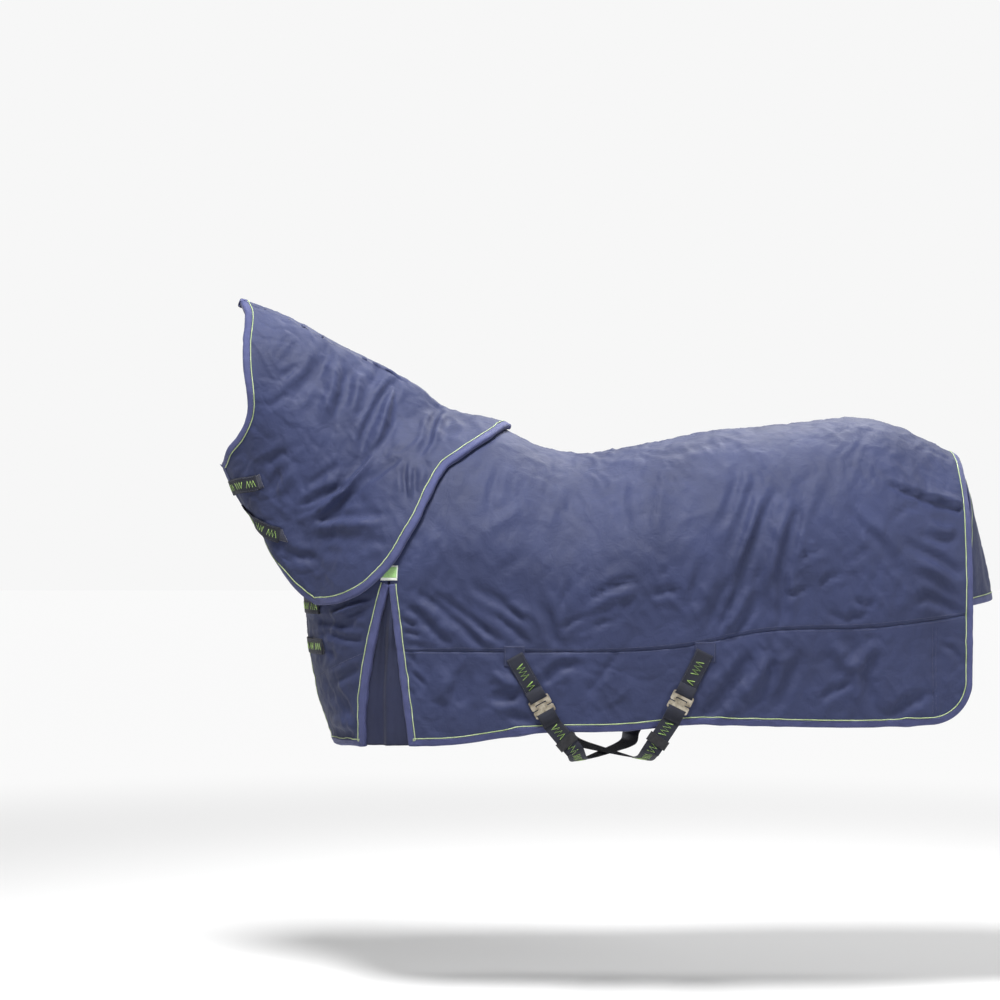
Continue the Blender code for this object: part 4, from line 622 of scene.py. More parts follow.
def apply_modifiers(obj):
    graph = bpy.context.evaluated_depsgraph_get()
    mesh = bpy.data.meshes.new_from_object(obj.evaluated_get(graph))
    old = obj.data
    obj.modifiers.clear()
    obj.data = mesh
    bpy.data.meshes.remove(old)
    mesh.name = obj.name
    return obj


def flipped(points):
    return points * np.array([1, -1, 1])


def cloth(name, grid, material, body, replaces, side=LEFT, thick=CLOTH):
    """A sheet of cloth from a grid of points (front to tail, and top to bottom) on the left or the right."""
    grid = grid if side == LEFT else flipped(grid)
    rows, columns = grid.shape[:2]
    obj = piece(name, grid.reshape(-1, 3), grid_faces(rows, columns, flip=side == RIGHT), material, body,
                replaces)
    return thickened(obj, thick)


def both_sides(left, right):
    """One grid over the spine from the left's and right's, whose first columns are on the middle plane."""
    return np.concatenate([flipped(right)[:, :0:-1], left], axis=1)


def grid_area(p):
    a, b = np.diff(p, axis=0)[:, :-1], np.diff(p, axis=1)[:-1]
    return float(np.linalg.norm(np.cross(a, b), axis=-1).sum())


class Ground:
    """The finished cloth, for laying things on."""

    def __init__(self, objects):
        self.trees = [BVHTree.FromPolygons([v.co for v in o.data.vertices],
                                           [p.vertices for p in o.data.polygons])
                      for o in objects]

    def top(self, p, out, reach=0.03):
        """The highest point of the cloth under or over p, along out, or None."""
        best = None
        for tree in self.trees:
            hit = tree.ray_cast(p + out * reach, -out, 2.2 * reach)
            if hit[0] is not None and (best is None or hit[3] < best):
                best = hit[3]
        return None if best is None else reach - best


def with_tangents(points):
    """(point, tangent) along a line of Vectors."""
    last = len(points) - 1
    return [(p, (points[min(i + 1, last)] - points[max(i - 1, 0)]).normalized()) for i,
            p in enumerate(points)]


def strip(name, rings, material, body, replaces=(), closed=False):
    """A tube through rings of points, with a map in metres along and round it."""
    rows, columns = len(rings), len(rings[0])
    verts = [p for ring in rings for p in ring]
    faces = grid_faces(rows + closed, columns, wrap=True)
    if closed:
        faces = [tuple(v % (rows * columns) for v in f) for f in faces]
    else:
        faces += [tuple(reversed(range(columns))), tuple(range((rows - 1) * columns, rows * columns))]
    obj = piece(name, verts, faces, material, body, replaces)
    along = [0.0]
    for a, b in zip(rings, rings[1:] + rings[:1]):
        along.append(along[-1] + (sum(b, Vector()) - sum(a, Vector())).length / columns)
    round_it = [0.0]
    for a, b in zip(rings[0], rings[0][1:] + rings[0][:1]):
        round_it.append(round_it[-1] + (b - a).length)
    layer = obj.data.uv_layers.new(name="strip")
    for poly in obj.data.polygons:
        spots = [divmod(v, columns) for v in poly.vertices]
        wraps = max(j for _, j in spots) - min(j for _, j in spots) > 1
        ends = max(i for i, _ in spots) - min(i for i, _ in spots) > 1
        for loop, (i, j) in zip(poly.loop_indices, spots):
            i = rows if ends and i == 0 and closed else i
            j = columns if wraps and j == 0 else j
            layer.data[loop].uv = (along[min(i, rows)], round_it[min(j, columns)])
    make_outward(obj)
    return obj


def make_outward(obj):
    bm = bmesh.new()
    bm.from_mesh(obj.data)
    bmesh.ops.recalc_face_normals(bm, faces=bm.faces)
    bm.to_mesh(obj.data)
    bm.free()


# ---------------------------------------------------------------- the rug's cloth

def side_edge(toward_tail, hem_rib, seam_top_rib, rows):
    """(rib, level) down one side of the gusset: the seam above the apex, then the opening, as in the CAD."""
    top = level_of(seam_top_rib, neckline_z(seam_top_rib))
    apex, seam = level_of(APEX_RIB, APEX_Z), level_of(APEX_RIB, seam_z(GUSSET_BACK))
    hem = level_of(APEX_RIB, hem_z(hem_rib))
    t = np.linspace(0, 1, rows[0] + 1)
    ribs = [mix(seam_top_rib, APEX_RIB + toward_tail * APEX_HALF, t)]
    levels = [mix(top, apex, t)]
    for a, b, count in ((apex, seam, rows[1]), (seam, hem, rows[2])):
        level = np.linspace(a, b, count + 1)[1:]
        down = (APEX_Z - trunk(APEX_RIB, level)[..., 2]) / (APEX_Z - hem_z(hem_rib))
        ribs.append(mix(APEX_RIB + toward_tail * APEX_HALF, hem_rib, down))
        levels.append(level)
    return np.concatenate(ribs), np.concatenate(levels)


def panel(edge, s, far_rib, top_level, low_level):
    """(rib, level) of a panel whose front edge is given, for places s from that edge to the far rib."""
    ribs, levels = edge
    fraction = (levels - levels[0]) / (levels[-1] - levels[0])
    rib = mix(ribs[None, :], far_rib, s[:, None])
    top, low = top_level(mix(ribs[0], far_rib, s)), low_level(mix(ribs[-1], far_rib, s))
    return rib, mix(top[:, None], low[:, None], fraction[None, :])


def neck_outline():
    lines = [np.array(line) for line in (NECK_CREST, NECK_BASE, NECK_THROAT[::-1], NECK_FRONT[::-1])]
    return np.concatenate(lines)


def inside(x, z, outline):
    """Which points of the side view lie inside an outline."""
    found = np.zeros(x.shape, bool)
    for a, b in zip(outline, np.roll(outline, -1, axis=0)):
        crosses = (a[1] > z) != (b[1] > z)
        slope = (b[0] - a[0]) / (b[1] - a[1] if abs(b[1] - a[1]) > 1e-9 else 1e-9)
        found ^= crosses & (x < a[0] + (z - a[1]) * slope)
    return found


SURCINGLES = {
    "front": {"anchor": (0.037, -0.566), "plate": (0.101, -0.680), "slider": (0.186, -0.800),
              "far": (0.508, -0.554), "belly_drop": 4 * MM},
    "rear": {"anchor": (0.508, -0.554), "plate": (0.451, -0.668), "slider": (0.372, -0.800),
             "far": (0.037, -0.566), "belly_drop": 0.0},
}


def quiet(x, z):
    """How much of the folds stays near the fastenings and under the neck cover, from 0 to 1."""
    stay = np.ones(x.shape)
    for spec in SURCINGLES.values():
        d, _ = line_distance(x, z, [*spec["plate"], *spec["slider"]])
        stay = np.minimum(stay, 0.12 + 0.88 * ease((np.abs(d) - 0.028) / 0.035))
    d, _ = line_distance(x, z, np.array(NECK_BASE).ravel())
    hidden = inside(x, z, neck_outline())
    return np.minimum(stay, np.where(hidden, 0.15, 1.0 - 0.6 * np.exp(-(d / 0.015) ** 2)))


def tuck(x, z):
    """The tuck on the croup: a lip above a deep crease."""
    d, t = line_distance(x, z, TUCK)
    strength = (0.35 + 0.65 * ease(t / 0.5)) * ease(t / 0.02) * ease((1 - t) / 0.02)
    lip = 19.0 * np.exp(-np.maximum(d, 0) / (20 * MM)) * ease((d + 1 * MM) / (6 * MM)) * (d < 60 * MM)
    deep = -14.0 * np.exp(-((d + 6 * MM) / (8 * MM)) ** 2)
    return (lip + deep) * strength * MM


def groove(x, z, line, depth, breadth):
    d, t = line_distance(x, z, line)
    return -depth * np.exp(-(d / breadth) ** 2) * (t > 0) * (t < 1)


def raised(rib, level, side, edges, seams, top, share):
    """The cloth over a panel's (rib, level), with its folds. Edges are bound lines and seams sewn ones."""
    base, normal = trunk(rib, level), trunk_normal(rib, level)
    x, z = base[..., 0], base[..., 2]
    if side == RIGHT:
        folds = 0.75 * pressed(x + 0.022, z - 0.012, BODY_FOLDS)
    else:
        folds = pressed(x, z, BODY_FOLDS)
    height = folds + rumple(base + (0.7 if side == RIGHT else 0.0), 3.0) + tuck(x, z)
    height += groove(x, z, (REAR_SEAM_X, -0.495, REAR_SEAM_X, -0.715), 3 * MM, 5 * MM)
    height *= quiet(x, z)
    skin = trunk(rib, level)
    for line, hold, sink in [(e, 1.0, 2.6) for e in edges] + [(s, 0.8, 1.4) for s in seams]:
        d = distance_to(skin, line)
        height *= 1 - hold * 0.75 * np.exp(-(d / 0.022) ** 2)
        pucker = noise_at(skin, (0.016, 0.016, 0.016), 7.0 + side) * 1.3 * MM * np.exp(-(d / 0.018) ** 2)
        height += pucker - sink * MM * np.exp(-(d / 0.009) ** 2)
    height = np.maximum(height, -6.2 * MM)
    return base + normal * (top + height * share)[..., None]


def edge_points(rib, level):
    return [Vector(p) for p in trunk(rib, level).reshape(-1, 3)]


ROWS = (46, 30, 40)
first_rib = APEX_RIB + 0.4 * MM
REAR_EDGE = side_edge(1, GUSSET_BACK, first_rib, ROWS)
CHEST_EDGE = side_edge(-1, GUSSET_FRONT, APEX_RIB - 0.4 * MM, ROWS)
UPPER = ROWS[0] + ROWS[1] + 1
corner = TAIL_X - REAR_CORNER
spots = np.concatenate([np.linspace(first_rib, NECKLINE_TOP, 26)[:-1],
                        np.linspace(NECKLINE_TOP, corner, 186)[:-1],
                        corner + REAR_CORNER * np.sin(np.linspace(0, math.pi / 2, 22))])
s_back = (spots - spots[0]) / (TAIL_X - spots[0])


def back_top(rib):
    return np.where(rib > NECKLINE_TOP - 1e-6, 0.0, level_of(rib, neckline_z(rib)))


BACK = panel((REAR_EDGE[0][:UPPER], REAR_EDGE[1][:UPPER]), s_back, TAIL_X, back_top,
             lambda rib: level_of(rib, seam_z(rib)))
SIDE = panel((REAR_EDGE[0][UPPER - 1:], REAR_EDGE[1][UPPER - 1:]), s_back, TAIL_X,
             lambda rib: level_of(rib, seam_z(rib)), lambda rib: level_of(rib, hem_z(rib)))
s_chest = np.linspace(0, 1, 66)
chest_ribs, chest_levels = CHEST_EDGE
fraction = (chest_levels - chest_levels[0]) / (chest_levels[-1] - chest_levels[0])
top_ribs, low_ribs = mix(FRONT_EDGE, chest_ribs[0], s_chest), mix(FRONT_EDGE, chest_ribs[-1], s_chest)
CHEST = (mix(FRONT_EDGE, chest_ribs[None, :], s_chest[:, None]),
         mix(level_of(top_ribs, neckline_z(top_ribs))[:, None], level_of(low_ribs, hem_z(low_ribs))[:, None],
             fraction[None, :]))
first_bound = 25

hem_line = edge_points(SIDE[0][:, -1], SIDE[1][:, -1])
tail_line = edge_points(BACK[0][-1], BACK[1][-1]) + edge_points(SIDE[0][-1], SIDE[1][-1])
gusset_rear = edge_points(REAR_EDGE[0][ROWS[0]:], REAR_EDGE[1][ROWS[0]:])
gusset_front = edge_points(CHEST_EDGE[0][ROWS[0]:], CHEST_EDGE[1][ROWS[0]:])
side_seam = edge_points(BACK[0][:, -1], BACK[1][:, -1])
shoulder_seam = edge_points(REAR_EDGE[0][:ROWS[0] + 1], REAR_EDGE[1][:ROWS[0] + 1])
neck_line = edge_points(BACK[0][:first_bound + 1, 0], BACK[1][:first_bound + 1, 0])
chest_lines = (edge_points(CHEST[0][:, 0], CHEST[1][:, 0]) + edge_points(CHEST[0][:, -1], CHEST[1][:, -1])
               + edge_points(CHEST[0][0], CHEST[1][0]))


def chest_seam_line(rib, level):
    """The side seam's run across the chest panel."""
    row = ROWS[0] + ROWS[1]
    return edge_points(rib[:, row], level[:, row])


def made_grids(side, top, share):
    back = raised(*BACK, side, [tail_line, gusset_rear, neck_line], [side_seam, shoulder_seam], top, share)
    lower = raised(*SIDE, side, [hem_line, tail_line, gusset_rear], [side_seam], top - 0.9 * MM, share)
    chest = raised(*CHEST, side, [chest_lines, gusset_front], [shoulder_seam, chest_seam_line(*CHEST)], top,
                   share)
    return back, lower, chest


def keep_middle(grid):
    """Puts the first column of a left grid on the middle plane where the spine is."""
    grid = grid.copy()
    on_spine = BACK[0][:, 0] > NECKLINE_TOP - 1e-6
    grid[on_spine, 0, 1] = 0.0
    return grid


OUTER, MADE = [], {}
GRIDS = {side: made_grids(side, SHELL_TOP, 1.0) for side in (LEFT, RIGHT)}
for side in (LEFT, RIGHT):
    back = keep_middle(GRIDS[side][0])
    middle = (keep_middle(GRIDS[LEFT][0])[first_bound:,
                                          0] + keep_middle(GRIDS[RIGHT][0])[first_bound:, 0]) / 2
    back[first_bound:, 0] = middle
    GRIDS[side] = (back, *GRIDS[side][1:])


def back_mesh(name, left, right, material, replaces, thick=CLOTH):
    """The back panel: two halves joined along the spine, and apart along the neckline ahead of it."""
    rows, columns = left.shape[:2]
    verts = np.concatenate([left.reshape(-1, 3), flipped(right).reshape(-1, 3)])
    faces = grid_faces(rows, columns)
    for quad in grid_faces(rows, columns, flip=True):
        faces.append(tuple(v if v % columns == 0 and v // columns >= first_bound else v + rows * columns
                           for v in quad))
    obj = piece(name, verts, faces, material, "rug", replaces)
    bm = bmesh.new()
    bm.from_mesh(obj.data)
    bmesh.ops.delete(bm, geom=[v for v in bm.verts if not v.link_faces], context="VERTS")
    bm.to_mesh(obj.data)
    bm.free()
    return thickened(obj, thick)


MADE["back"] = back_mesh("outer_back", GRIDS[LEFT][0], GRIDS[RIGHT][0], SHELL,
                         ["outer_shell_back", "fill_back"])
OUTER.append(MADE["back"])
for side, which in SIDES:
    for part, index in (("side", 1), ("chest", 2)):
        made = cloth(f"outer_{part}_{which}", GRIDS[side][index], SHELL, "rug",
                     [f"outer_shell_{part}_{which}", f"fill_{part}_{which}"], side)
        MADE[part, side] = made
        OUTER.append(made)

BACK_AREA = 2 * grid_area(trunk(*BACK))
SIDE_AREA, CHEST_AREA = grid_area(trunk(*SIDE)), grid_area(trunk(*CHEST))

# The lining, under the same cloth with shallower folds.
inner = {side: made_grids(side, LINING_TOP, LINING_SHARE) for side in (LEFT, RIGHT)}
inner_left, inner_right = keep_middle(inner[LEFT][0]), keep_middle(inner[RIGHT][0])
inner_right[first_bound:, 0] = inner_left[first_bound:, 0]
lining_back = back_mesh("lining_back_cloth", inner_left, inner_right, LINING, ["lining_back"],
                        LINING_THICK)
for side, which in SIDES:
    for part, index, flat, area in (("side", 1, (1.44, 0.28), SIDE_AREA),
                                    ("chest", 2, (0.42, 0.72), CHEST_AREA)):
        made = cloth(f"lining_{part}_{which}_cloth", inner[side][index], LINING, "rug",
                     [f"lining_{part}_{which}"], side, LINING_THICK)


# ---------------------------------------------------------------- the neck cover

def trunk_skin():
    """The skin of both sides of the trunk, for pushing the neck cover off it."""
    ribs, levels = np.linspace(-0.65, TAIL_X, 150), np.linspace(0.0, 2.0, 70)
    rib, level = np.meshgrid(ribs, levels, indexing="ij")
    left = trunk(rib, level)
    trees = []
    for side, grid in ((LEFT, left), (RIGHT, flipped(left))):
        faces = grid_faces(*grid.shape[:2], flip=side == RIGHT)
        trees.append(BVHTree.FromPolygons([Vector(p) for p in grid.reshape(-1, 3)], faces))
    return trees


def trunk_half_width(x, z):
    """How far the trunk's side is from the middle plane, in side view, or 0 outside its outline."""
    rib = np.maximum(x, SHOULDER_X)
    flat = -trunk(rib, level_of(rib, z))[..., 1]
    sine = np.clip((SHOULDER_X - x) / chest_reach(z), 0, 1)
    return np.where(z > spine_z(rib), 0.0, flat * np.sqrt(1 - sine * sine))


def pushed_off(grid, trees, clearance):
    flat = grid.reshape(-1, 3).copy()
    for i, q in enumerate(flat):
        p = Vector(q)
        if p.x < -0.62 and p.z > 0.0:
            continue
        for _ in range(3):
            hit = min((tree.find_nearest(p) for tree in trees), key=lambda h: h[3])
            short = clearance - (p - hit[0]).dot(hit[1])
            if short <= 0 or hit[3] > 0.2:
                break
            p += hit[1] * short
        flat[i] = p
    return flat.reshape(grid.shape)


def relaxed(grid, rounds):
    """Evens out a grid without moving its edges."""
    for _ in range(rounds):
        mean = grid.copy()
        mean[1:-1, 1:-1] = (grid[:-2, 1:-1] + grid[2:, 1:-1] + grid[1:-1, :-2] + grid[1:-1, 2:]) / 4
        grid = mean
    return grid


def neck_surface():
    """The left of the neck cover's middle surface, from head to body and from crest to throat."""
    front, base, crest, throat = (spline(line) for line in (NECK_FRONT, NECK_BASE, NECK_CREST, NECK_THROAT))
    u = np.linspace(0, 1, 104)[:, None]
    v = np.linspace(0, 1, 132)[None, :] ** 1.25
    corner_a, corner_b = crest(np.array([0.0, 1.0])), throat(np.array([0.0, 1.0]))
    p = mix(front(v), base(v), u[..., None])
    p = p + (1 - v)[..., None] * (crest(u) - mix(corner_a[0], corner_a[1], u[..., None]))
    p = p + v[..., None] * (throat(u) - mix(corner_b[0], corner_b[1], u[..., None]))
    half = smooth(NECK_HALF_WIDTH)(u) * np.sin(math.pi * np.clip(v, 1e-9, 1)) ** NECK_FULLNESS
    y = -np.where((v > 0) & (v < 1), half, 0.0)
    grid = np.stack([p[..., 0], y, p[..., 1]], -1)
    grid[..., 1] = np.minimum(grid[..., 1], -trunk_half_width(grid[..., 0], grid[..., 2]))
    trees = trunk_skin()
    grid = pushed_off(grid, trees, NECK_CLEAR)
    grid[:, 1:, 1] = np.minimum(grid[:, 1:, 1], -THROAT_OPENING)
    grid[:, 0, 1] = 0.0
    for rounds in (14, 6):
        grid = relaxed(grid, rounds)
        grid = pushed_off(grid, trees, NECK_CLEAR - 1 * MM)
        grid[:, 0, 1] = 0.0
        grid[:, 1:, 1] = np.minimum(grid[:, 1:, 1], -THROAT_OPENING)
    return grid


def neck_layer(base, side, top, share):
    """The neck cover's cloth at a height above its middle surface, with its folds."""
    normal = grid_normals(base)
    normal[:, 0, 1] = 0.0
    normal = unit(normal)
    x, z = base[..., 0], base[..., 2]
    folds = pressed(x, z, NECK_FOLDS) if side == LEFT else 0.75 * pressed(x + 0.012, z - 0.008, NECK_FOLDS)
    height = folds + rumple(base + (0.0 if side == LEFT else 0.9), 5.0)
    edges = ([Vector(p) for p in base[0]] + [Vector(p) for p in base[-1]] + [Vector(p) for p in base[:, -1]])
    d = distance_to(base, edges)
    height = height * (1 - 0.8 * np.exp(-(d / 0.022) ** 2)) - 2.0 * MM * np.exp(-(d / 0.010) ** 2)
    height += noise_at(base, (0.016,) * 3, 21.0 + side) * 1.2 * MM * np.exp(-(d / 0.018) ** 2)
    on_rug = ease((trunk_half_width(x, z) + base[..., 1] + 0.05) / 0.05) * (trunk_half_width(x, z) > 0.02)
    height = np.where(height < 0, height * (1 - 0.5 * on_rug), height)
    height = np.maximum(height, -6.5 * MM)
    return base + normal * (top + height * share)[..., None]


def joined_halves(name, left, right, material, body, replaces, thick):
    """Left and right grids as one piece, joined along their first columns."""
    middle = (left[:, 0] + flipped(right[:, 0])) / 2
    middle[:, 1] = 0
    left, right = left.copy(), right.copy()
    left[:, 0], right[:, 0] = middle, middle
    grid = both_sides(left, right)
    obj = piece(name, grid.reshape(-1, 3), grid_faces(*grid.shape[:2]), material, body, replaces)
    return thickened(obj, thick), grid


NECK = neck_surface()
neck_left, neck_right = (neck_layer(NECK, side, NECK_SHELL_TOP, 1.0) for side in (LEFT, RIGHT))
neck_outer, NECK_GRID = joined_halves("neck_outer", neck_left, neck_right, SHELL, "neck_cover",
                                      ["neck_cover_shell", "neck_cover_fill"], CLOTH)
lining_left, lining_right = (neck_layer(NECK, side, NECK_LINING_TOP, 0.2) for side in (LEFT, RIGHT))
neck_lining, _ = joined_halves("neck_lining_cloth", lining_left, lining_right, LINING, "neck_cover",
                               ["neck_cover_lining"], LINING_THICK)


# ---------------------------------------------------------------- the tail flap

def flap_surface(height, share):
    profile, half = spline(FLAP_PROFILE), smooth(FLAP_HALF_WIDTH)
    s, t = np.meshgrid(np.linspace(-1, 1, 61), np.linspace(0, 1, 61), indexing="ij")
    at = profile(t)
    p = np.stack([at[..., 0] - FLAP_WRAP * t ** 1.2 * s * s, half(t) * s,
                  at[..., 1] - mix(FLAP_ARCH_TOP, FLAP_ARCH_BOTTOM, t) * s * s], -1)
    normal = unit(np.cross(np.gradient(p, axis=1), np.gradient(p, axis=0)))
    waves = (2.2 * np.sin(9 * s + 2 * t + 0.6) * ease(t / 0.5) + 1.2 * np.sin(17 * s - 3 * t)) * MM
    waves = (waves + noise_at(p, (0.05, 0.05, 0.09),
                              31.0) * 2.5 * MM - 1.2 * MM * crumple(p, 0.045, 33.0)) * share
    waves *= (0.25 + 0.75 * ease((1 - np.abs(s)) / 0.15) * ease((1 - t) / 0.1)) * ease(t / 0.25)
    return p + normal * (height + waves)[..., None]


flap_top, flap_low = flap_surface(3.7 * MM, 1.0), flap_surface(2.0 * MM, 1.0)
flap_outer = piece("flap_outer", flap_top.reshape(-1, 3), grid_faces(61, 61), SHELL, "tail_flap",
                   ["tail_flap_shell"])
thickened(flap_outer, 0.8 * MM)
flap_inner = piece("flap_lining_cloth", flap_low.reshape(-1, 3), grid_faces(61, 61), LINING, "tail_flap",
                   ["tail_flap_lining"])
thickened(flap_inner, 0.6 * MM)


# ---------------------------------------------------------------- tape, cord and stitches along the edges

def eased(directions, passes, closed=False):
    """Directions averaged with their neighbours."""
    count = len(directions)
    for _ in range(passes):
        directions = [(directions[i - 1 if i or closed else 0] + directions[i] * 2
                       + directions[(i + 1) % count if closed else min(i + 1, count - 1)]).normalized()
                      for i in range(count)]
    return directions


def bordered(points, inner_points, normals, closed=False):
    """(point, outward normal, direction into the cloth) along an edge."""
    count = len(points)
    normals = eased(normals, 6, closed)
    inwards = []
    for i, p in enumerate(points):
        ahead = points[(i + 1) % count if closed else min(i + 1, count - 1)]
        tangent = ahead - points[i - 1 if i or closed else 0]
        inward = normals[i].cross(tangent).normalized()
        inwards.append(inward if inward.dot(inner_points[i] - p) > 0 else -inward)
    inwards = eased(inwards, 3, closed)
    return list(zip(points, normals, inwards))


def laid(ground, p, normal, lift):
    top = ground.top(p, normal)
    return p + normal * ((0.0 if top is None else max(min(top, 0.012), -0.012)) + lift)


def tape(name, border, ground, material, body, replaces, depth=11.5 * MM, closed=False, side_gap=1.2 * MM):
    """Tape folded over an edge: a leg on the cloth, a round fold past the edge and a leg inside."""
    half = TAPE_THICK / 2
    rings = []
    for p, n, inward in border:
        outer = [laid(ground, p + inward * t * MM, n, 0.5 * MM) for t in (14, 11, 8, 5, 2.5)]
        level = (outer[-1] - p).dot(n)
        across = (depth + level + 1.2 * MM) / 2
        centre = p + n * (level - across)
        around = [centre + n * across * math.cos(a) - inward * (side_gap + 2.2 * MM) * math.sin(a)
                  for a in (math.radians(d) for d in (25, 58, 90, 122, 155))]
        inner = [q - n * 2 * across for q in reversed(outer)]
        path = outer + around + inner
        thick = []
        for k, q in enumerate(path):
            a, b = path[max(k - 1, 0)], path[min(k + 1, len(path) - 1)]
            away = (b - a).cross(inward.cross(n)).normalized()
            away = away if away.dot(q - centre) > 0 else -away
            thick.append(q + away * half * 2)
        rings.append(path + thick[::-1])
    return strip(name, rings, material, body, replaces, closed=closed)


def cord(name, border, ground, body, replaces):
    """A round cord laid on the cloth at a distance inside an edge."""
    centres = [laid(ground, p + inward * CORD_INSET, n, CORD_RADIUS * 0.75) for p, n, inward in border]
    rings = []
    for (c, along), (_, n, _) in zip(with_tangents(centres), border):
        across = along.cross(n).normalized()
        up = across.cross(along)
        rings.append([c + (across * math.cos(a) + up * math.sin(a)) * CORD_RADIUS
                      for a in (2 * math.pi * k / CORD_SIDES for k in range(CORD_SIDES))])
    return strip(name, rings, CORD, body, replaces)


def stitches(name, centres, normals, body, pitch=4.2 * MM, length=2.8 * MM, radius=0.42 * MM):
    """A row of separate stitches along a line that lies on the cloth."""
    verts, faces = [], []
    left = 0.0
    for a, b, n, m in zip(centres, centres[1:], normals, normals[1:]):
        span = (b - a).length
        if span < 1e-6:
            continue
        along = (b - a) / span
        while left < span:
            out = mix(n, m, left / span).normalized()
            middle = a + along * left
            across = along.cross(out).normalized()
            base = len(verts)
            for s, w, h in ((-0.5, 0.25, -0.4), (-0.32, 1, 0.8), (0.32, 1, 0.8), (0.5, 0.25, -0.4)):
                verts += [middle + along * s * length + across * w * radius + out * h * radius * 0.2,
                          middle + along * s * length + out * h * radius,
                          middle + along * s * length - across * w * radius + out * h * radius * 0.2,
                          middle + along * s * length - out * radius * 0.8]
            for k in range(3):
                for j in range(4):
                    q = (j + 1) % 4
                    faces.append((base + 4 * k + j, base + 4 * k + q, base + 4 * k + 4 + q,
                                  base + 4 * k + 4 + j))
            faces += [(base + 3, base + 2, base + 1, base), (base + 12, base + 13, base + 14, base + 15)]
            left += pitch
        left -= span
    obj = piece(name, verts, faces, THREAD, body)
    make_outward(obj)
    return obj


def vectors(array):
    return [Vector(p) for p in array]


def grid_border(parts, closed=False):
    """Edge points, inner points and normals along runs of grid edges, joined end to end."""
    points, inner_points, normals = [], [], []
    for grid, pick_edge, pick_inner, side in parts:
        n = grid_normals(grid)
        e, i, m = pick_edge(grid), pick_inner(grid), pick_inner(n)
        if side == RIGHT:
            e, i, m = flipped(e), flipped(i), flipped(m)
        for a, b, c in zip(vectors(e), vectors(i), vectors(m)):
            if not points or (a - points[-1]).length > 1.2 * MM:
                points.append(a)
                inner_points.append(b)
                normals.append(c)
    return bordered(points, inner_points, normals, closed)


def reverse(pick):
    return lambda grid: pick(grid)[::-1]


def hem_parts(side):
    """From the gusset's apex down, along the hem and up the tail, on one side."""
    back, lower, _ = GRIDS[side]
    start = ROWS[0]
    return [(back, lambda g: g[0, start:], lambda g: g[6, start:], side),
            (lower, lambda g: g[0, 1:], lambda g: g[6, 1:], side),
            (lower, lambda g: g[1:, -1], lambda g: g[1:, -7], side),
            (lower, lambda g: g[-1, -2::-1], lambda g: g[-12, -2::-1], side),
            (back, lambda g: g[-1, ::-1], lambda g: g[-12, ::-1], side)]


def backwards(parts):
    return [(grid, reverse(edge), reverse(inner_edge), side) for grid, edge, inner_edge,
            side in reversed(parts)]


def chest_parts(side):
    """From the gusset's apex down, round the chest panel and up the neckline to the withers."""
    back, _, chest = GRIDS[side]
    start = ROWS[0]
    return [(chest, lambda g: g[-1, start:], lambda g: g[-7, start:], side),
            (chest, lambda g: g[-2::-1, -1], lambda g: g[-2::-1, -7], side),
            (chest, lambda g: g[0, -2::-1], lambda g: g[6, -2::-1], side),
            (chest, lambda g: g[1:, 0], lambda g: g[1:, 6], side),
            (back, lambda g: g[1:first_bound + 1, 0], lambda g: g[1:first_bound + 1, 6], side)]


RUG_GROUND = Ground(OUTER)
NECK_GROUND = Ground([neck_outer])
FRONT_CORD_POINTS = ROWS[1] + ROWS[2] + 130
hem_border = grid_border(hem_parts(LEFT) + backwards(hem_parts(RIGHT)))
front_border = grid_border(chest_parts(LEFT) + backwards(chest_parts(RIGHT)))
tape("hem_tape", hem_border, RUG_GROUND, TAPE, "rug", ["hem_binding"], side_gap=0.2 * MM)
tape("front_tape", front_border, RUG_GROUND, TAPE, "rug", ["front_binding"])
cord("hem_cord", hem_border, RUG_GROUND, "rug", ["hem_piping"])
shown = front_border[:FRONT_CORD_POINTS]
cord("front_cord_left", shown, RUG_GROUND, "rug", ["front_piping_left"])
cord("front_cord_right", front_border[::-1][:len(shown)], RUG_GROUND, "rug", ["front_piping_right"])

neck_edges = [(NECK_GRID, lambda g: g[0], lambda g: g[6], LEFT),
              (NECK_GRID, lambda g: g[1:, -1], lambda g: g[1:, -7], LEFT),
              (NECK_GRID, lambda g: g[-1, -2::-1], lambda g: g[-7, -2::-1], LEFT),
              (NECK_GRID, lambda g: g[-2:0:-1, 0], lambda g: g[-2:0:-1, 6], LEFT)]
neck_border = grid_border(neck_edges, closed=True)
tape("neck_tape", neck_border, NECK_GROUND, TAPE, "neck_cover", ["neck_edge_binding"], depth=11.0 * MM,
     closed=True)
cord("neck_front_cord", grid_border(neck_edges[:1])[2:-2], NECK_GROUND, "neck_cover",
     ["neck_front_piping"])
cord("neck_base_cord", grid_border(neck_edges[2:3])[2:-2], NECK_GROUND, "neck_cover",
     ["neck_base_piping"])
FLAP_GROUND = Ground([flap_outer])
flap_border = grid_border([(flap_top, lambda g: g[0], lambda g: g[4], LEFT),
                           (flap_top, lambda g: g[1:, -1], lambda g: g[1:, -5], LEFT),
                           (flap_top, lambda g: g[-1, -2::-1], lambda g: g[-5, -2::-1], LEFT)])
flap_border = [(p, -n if n.x < 0 else n, i) for p, n, i in flap_border]
tape("flap_tape", flap_border, FLAP_GROUND, TAPE, "tail_flap", ["tail_flap_binding"], depth=2.8 * MM,
     side_gap=0.5 * MM)
cord("flap_cord", flap_border, FLAP_GROUND, "tail_flap", ["tail_flap_piping"])
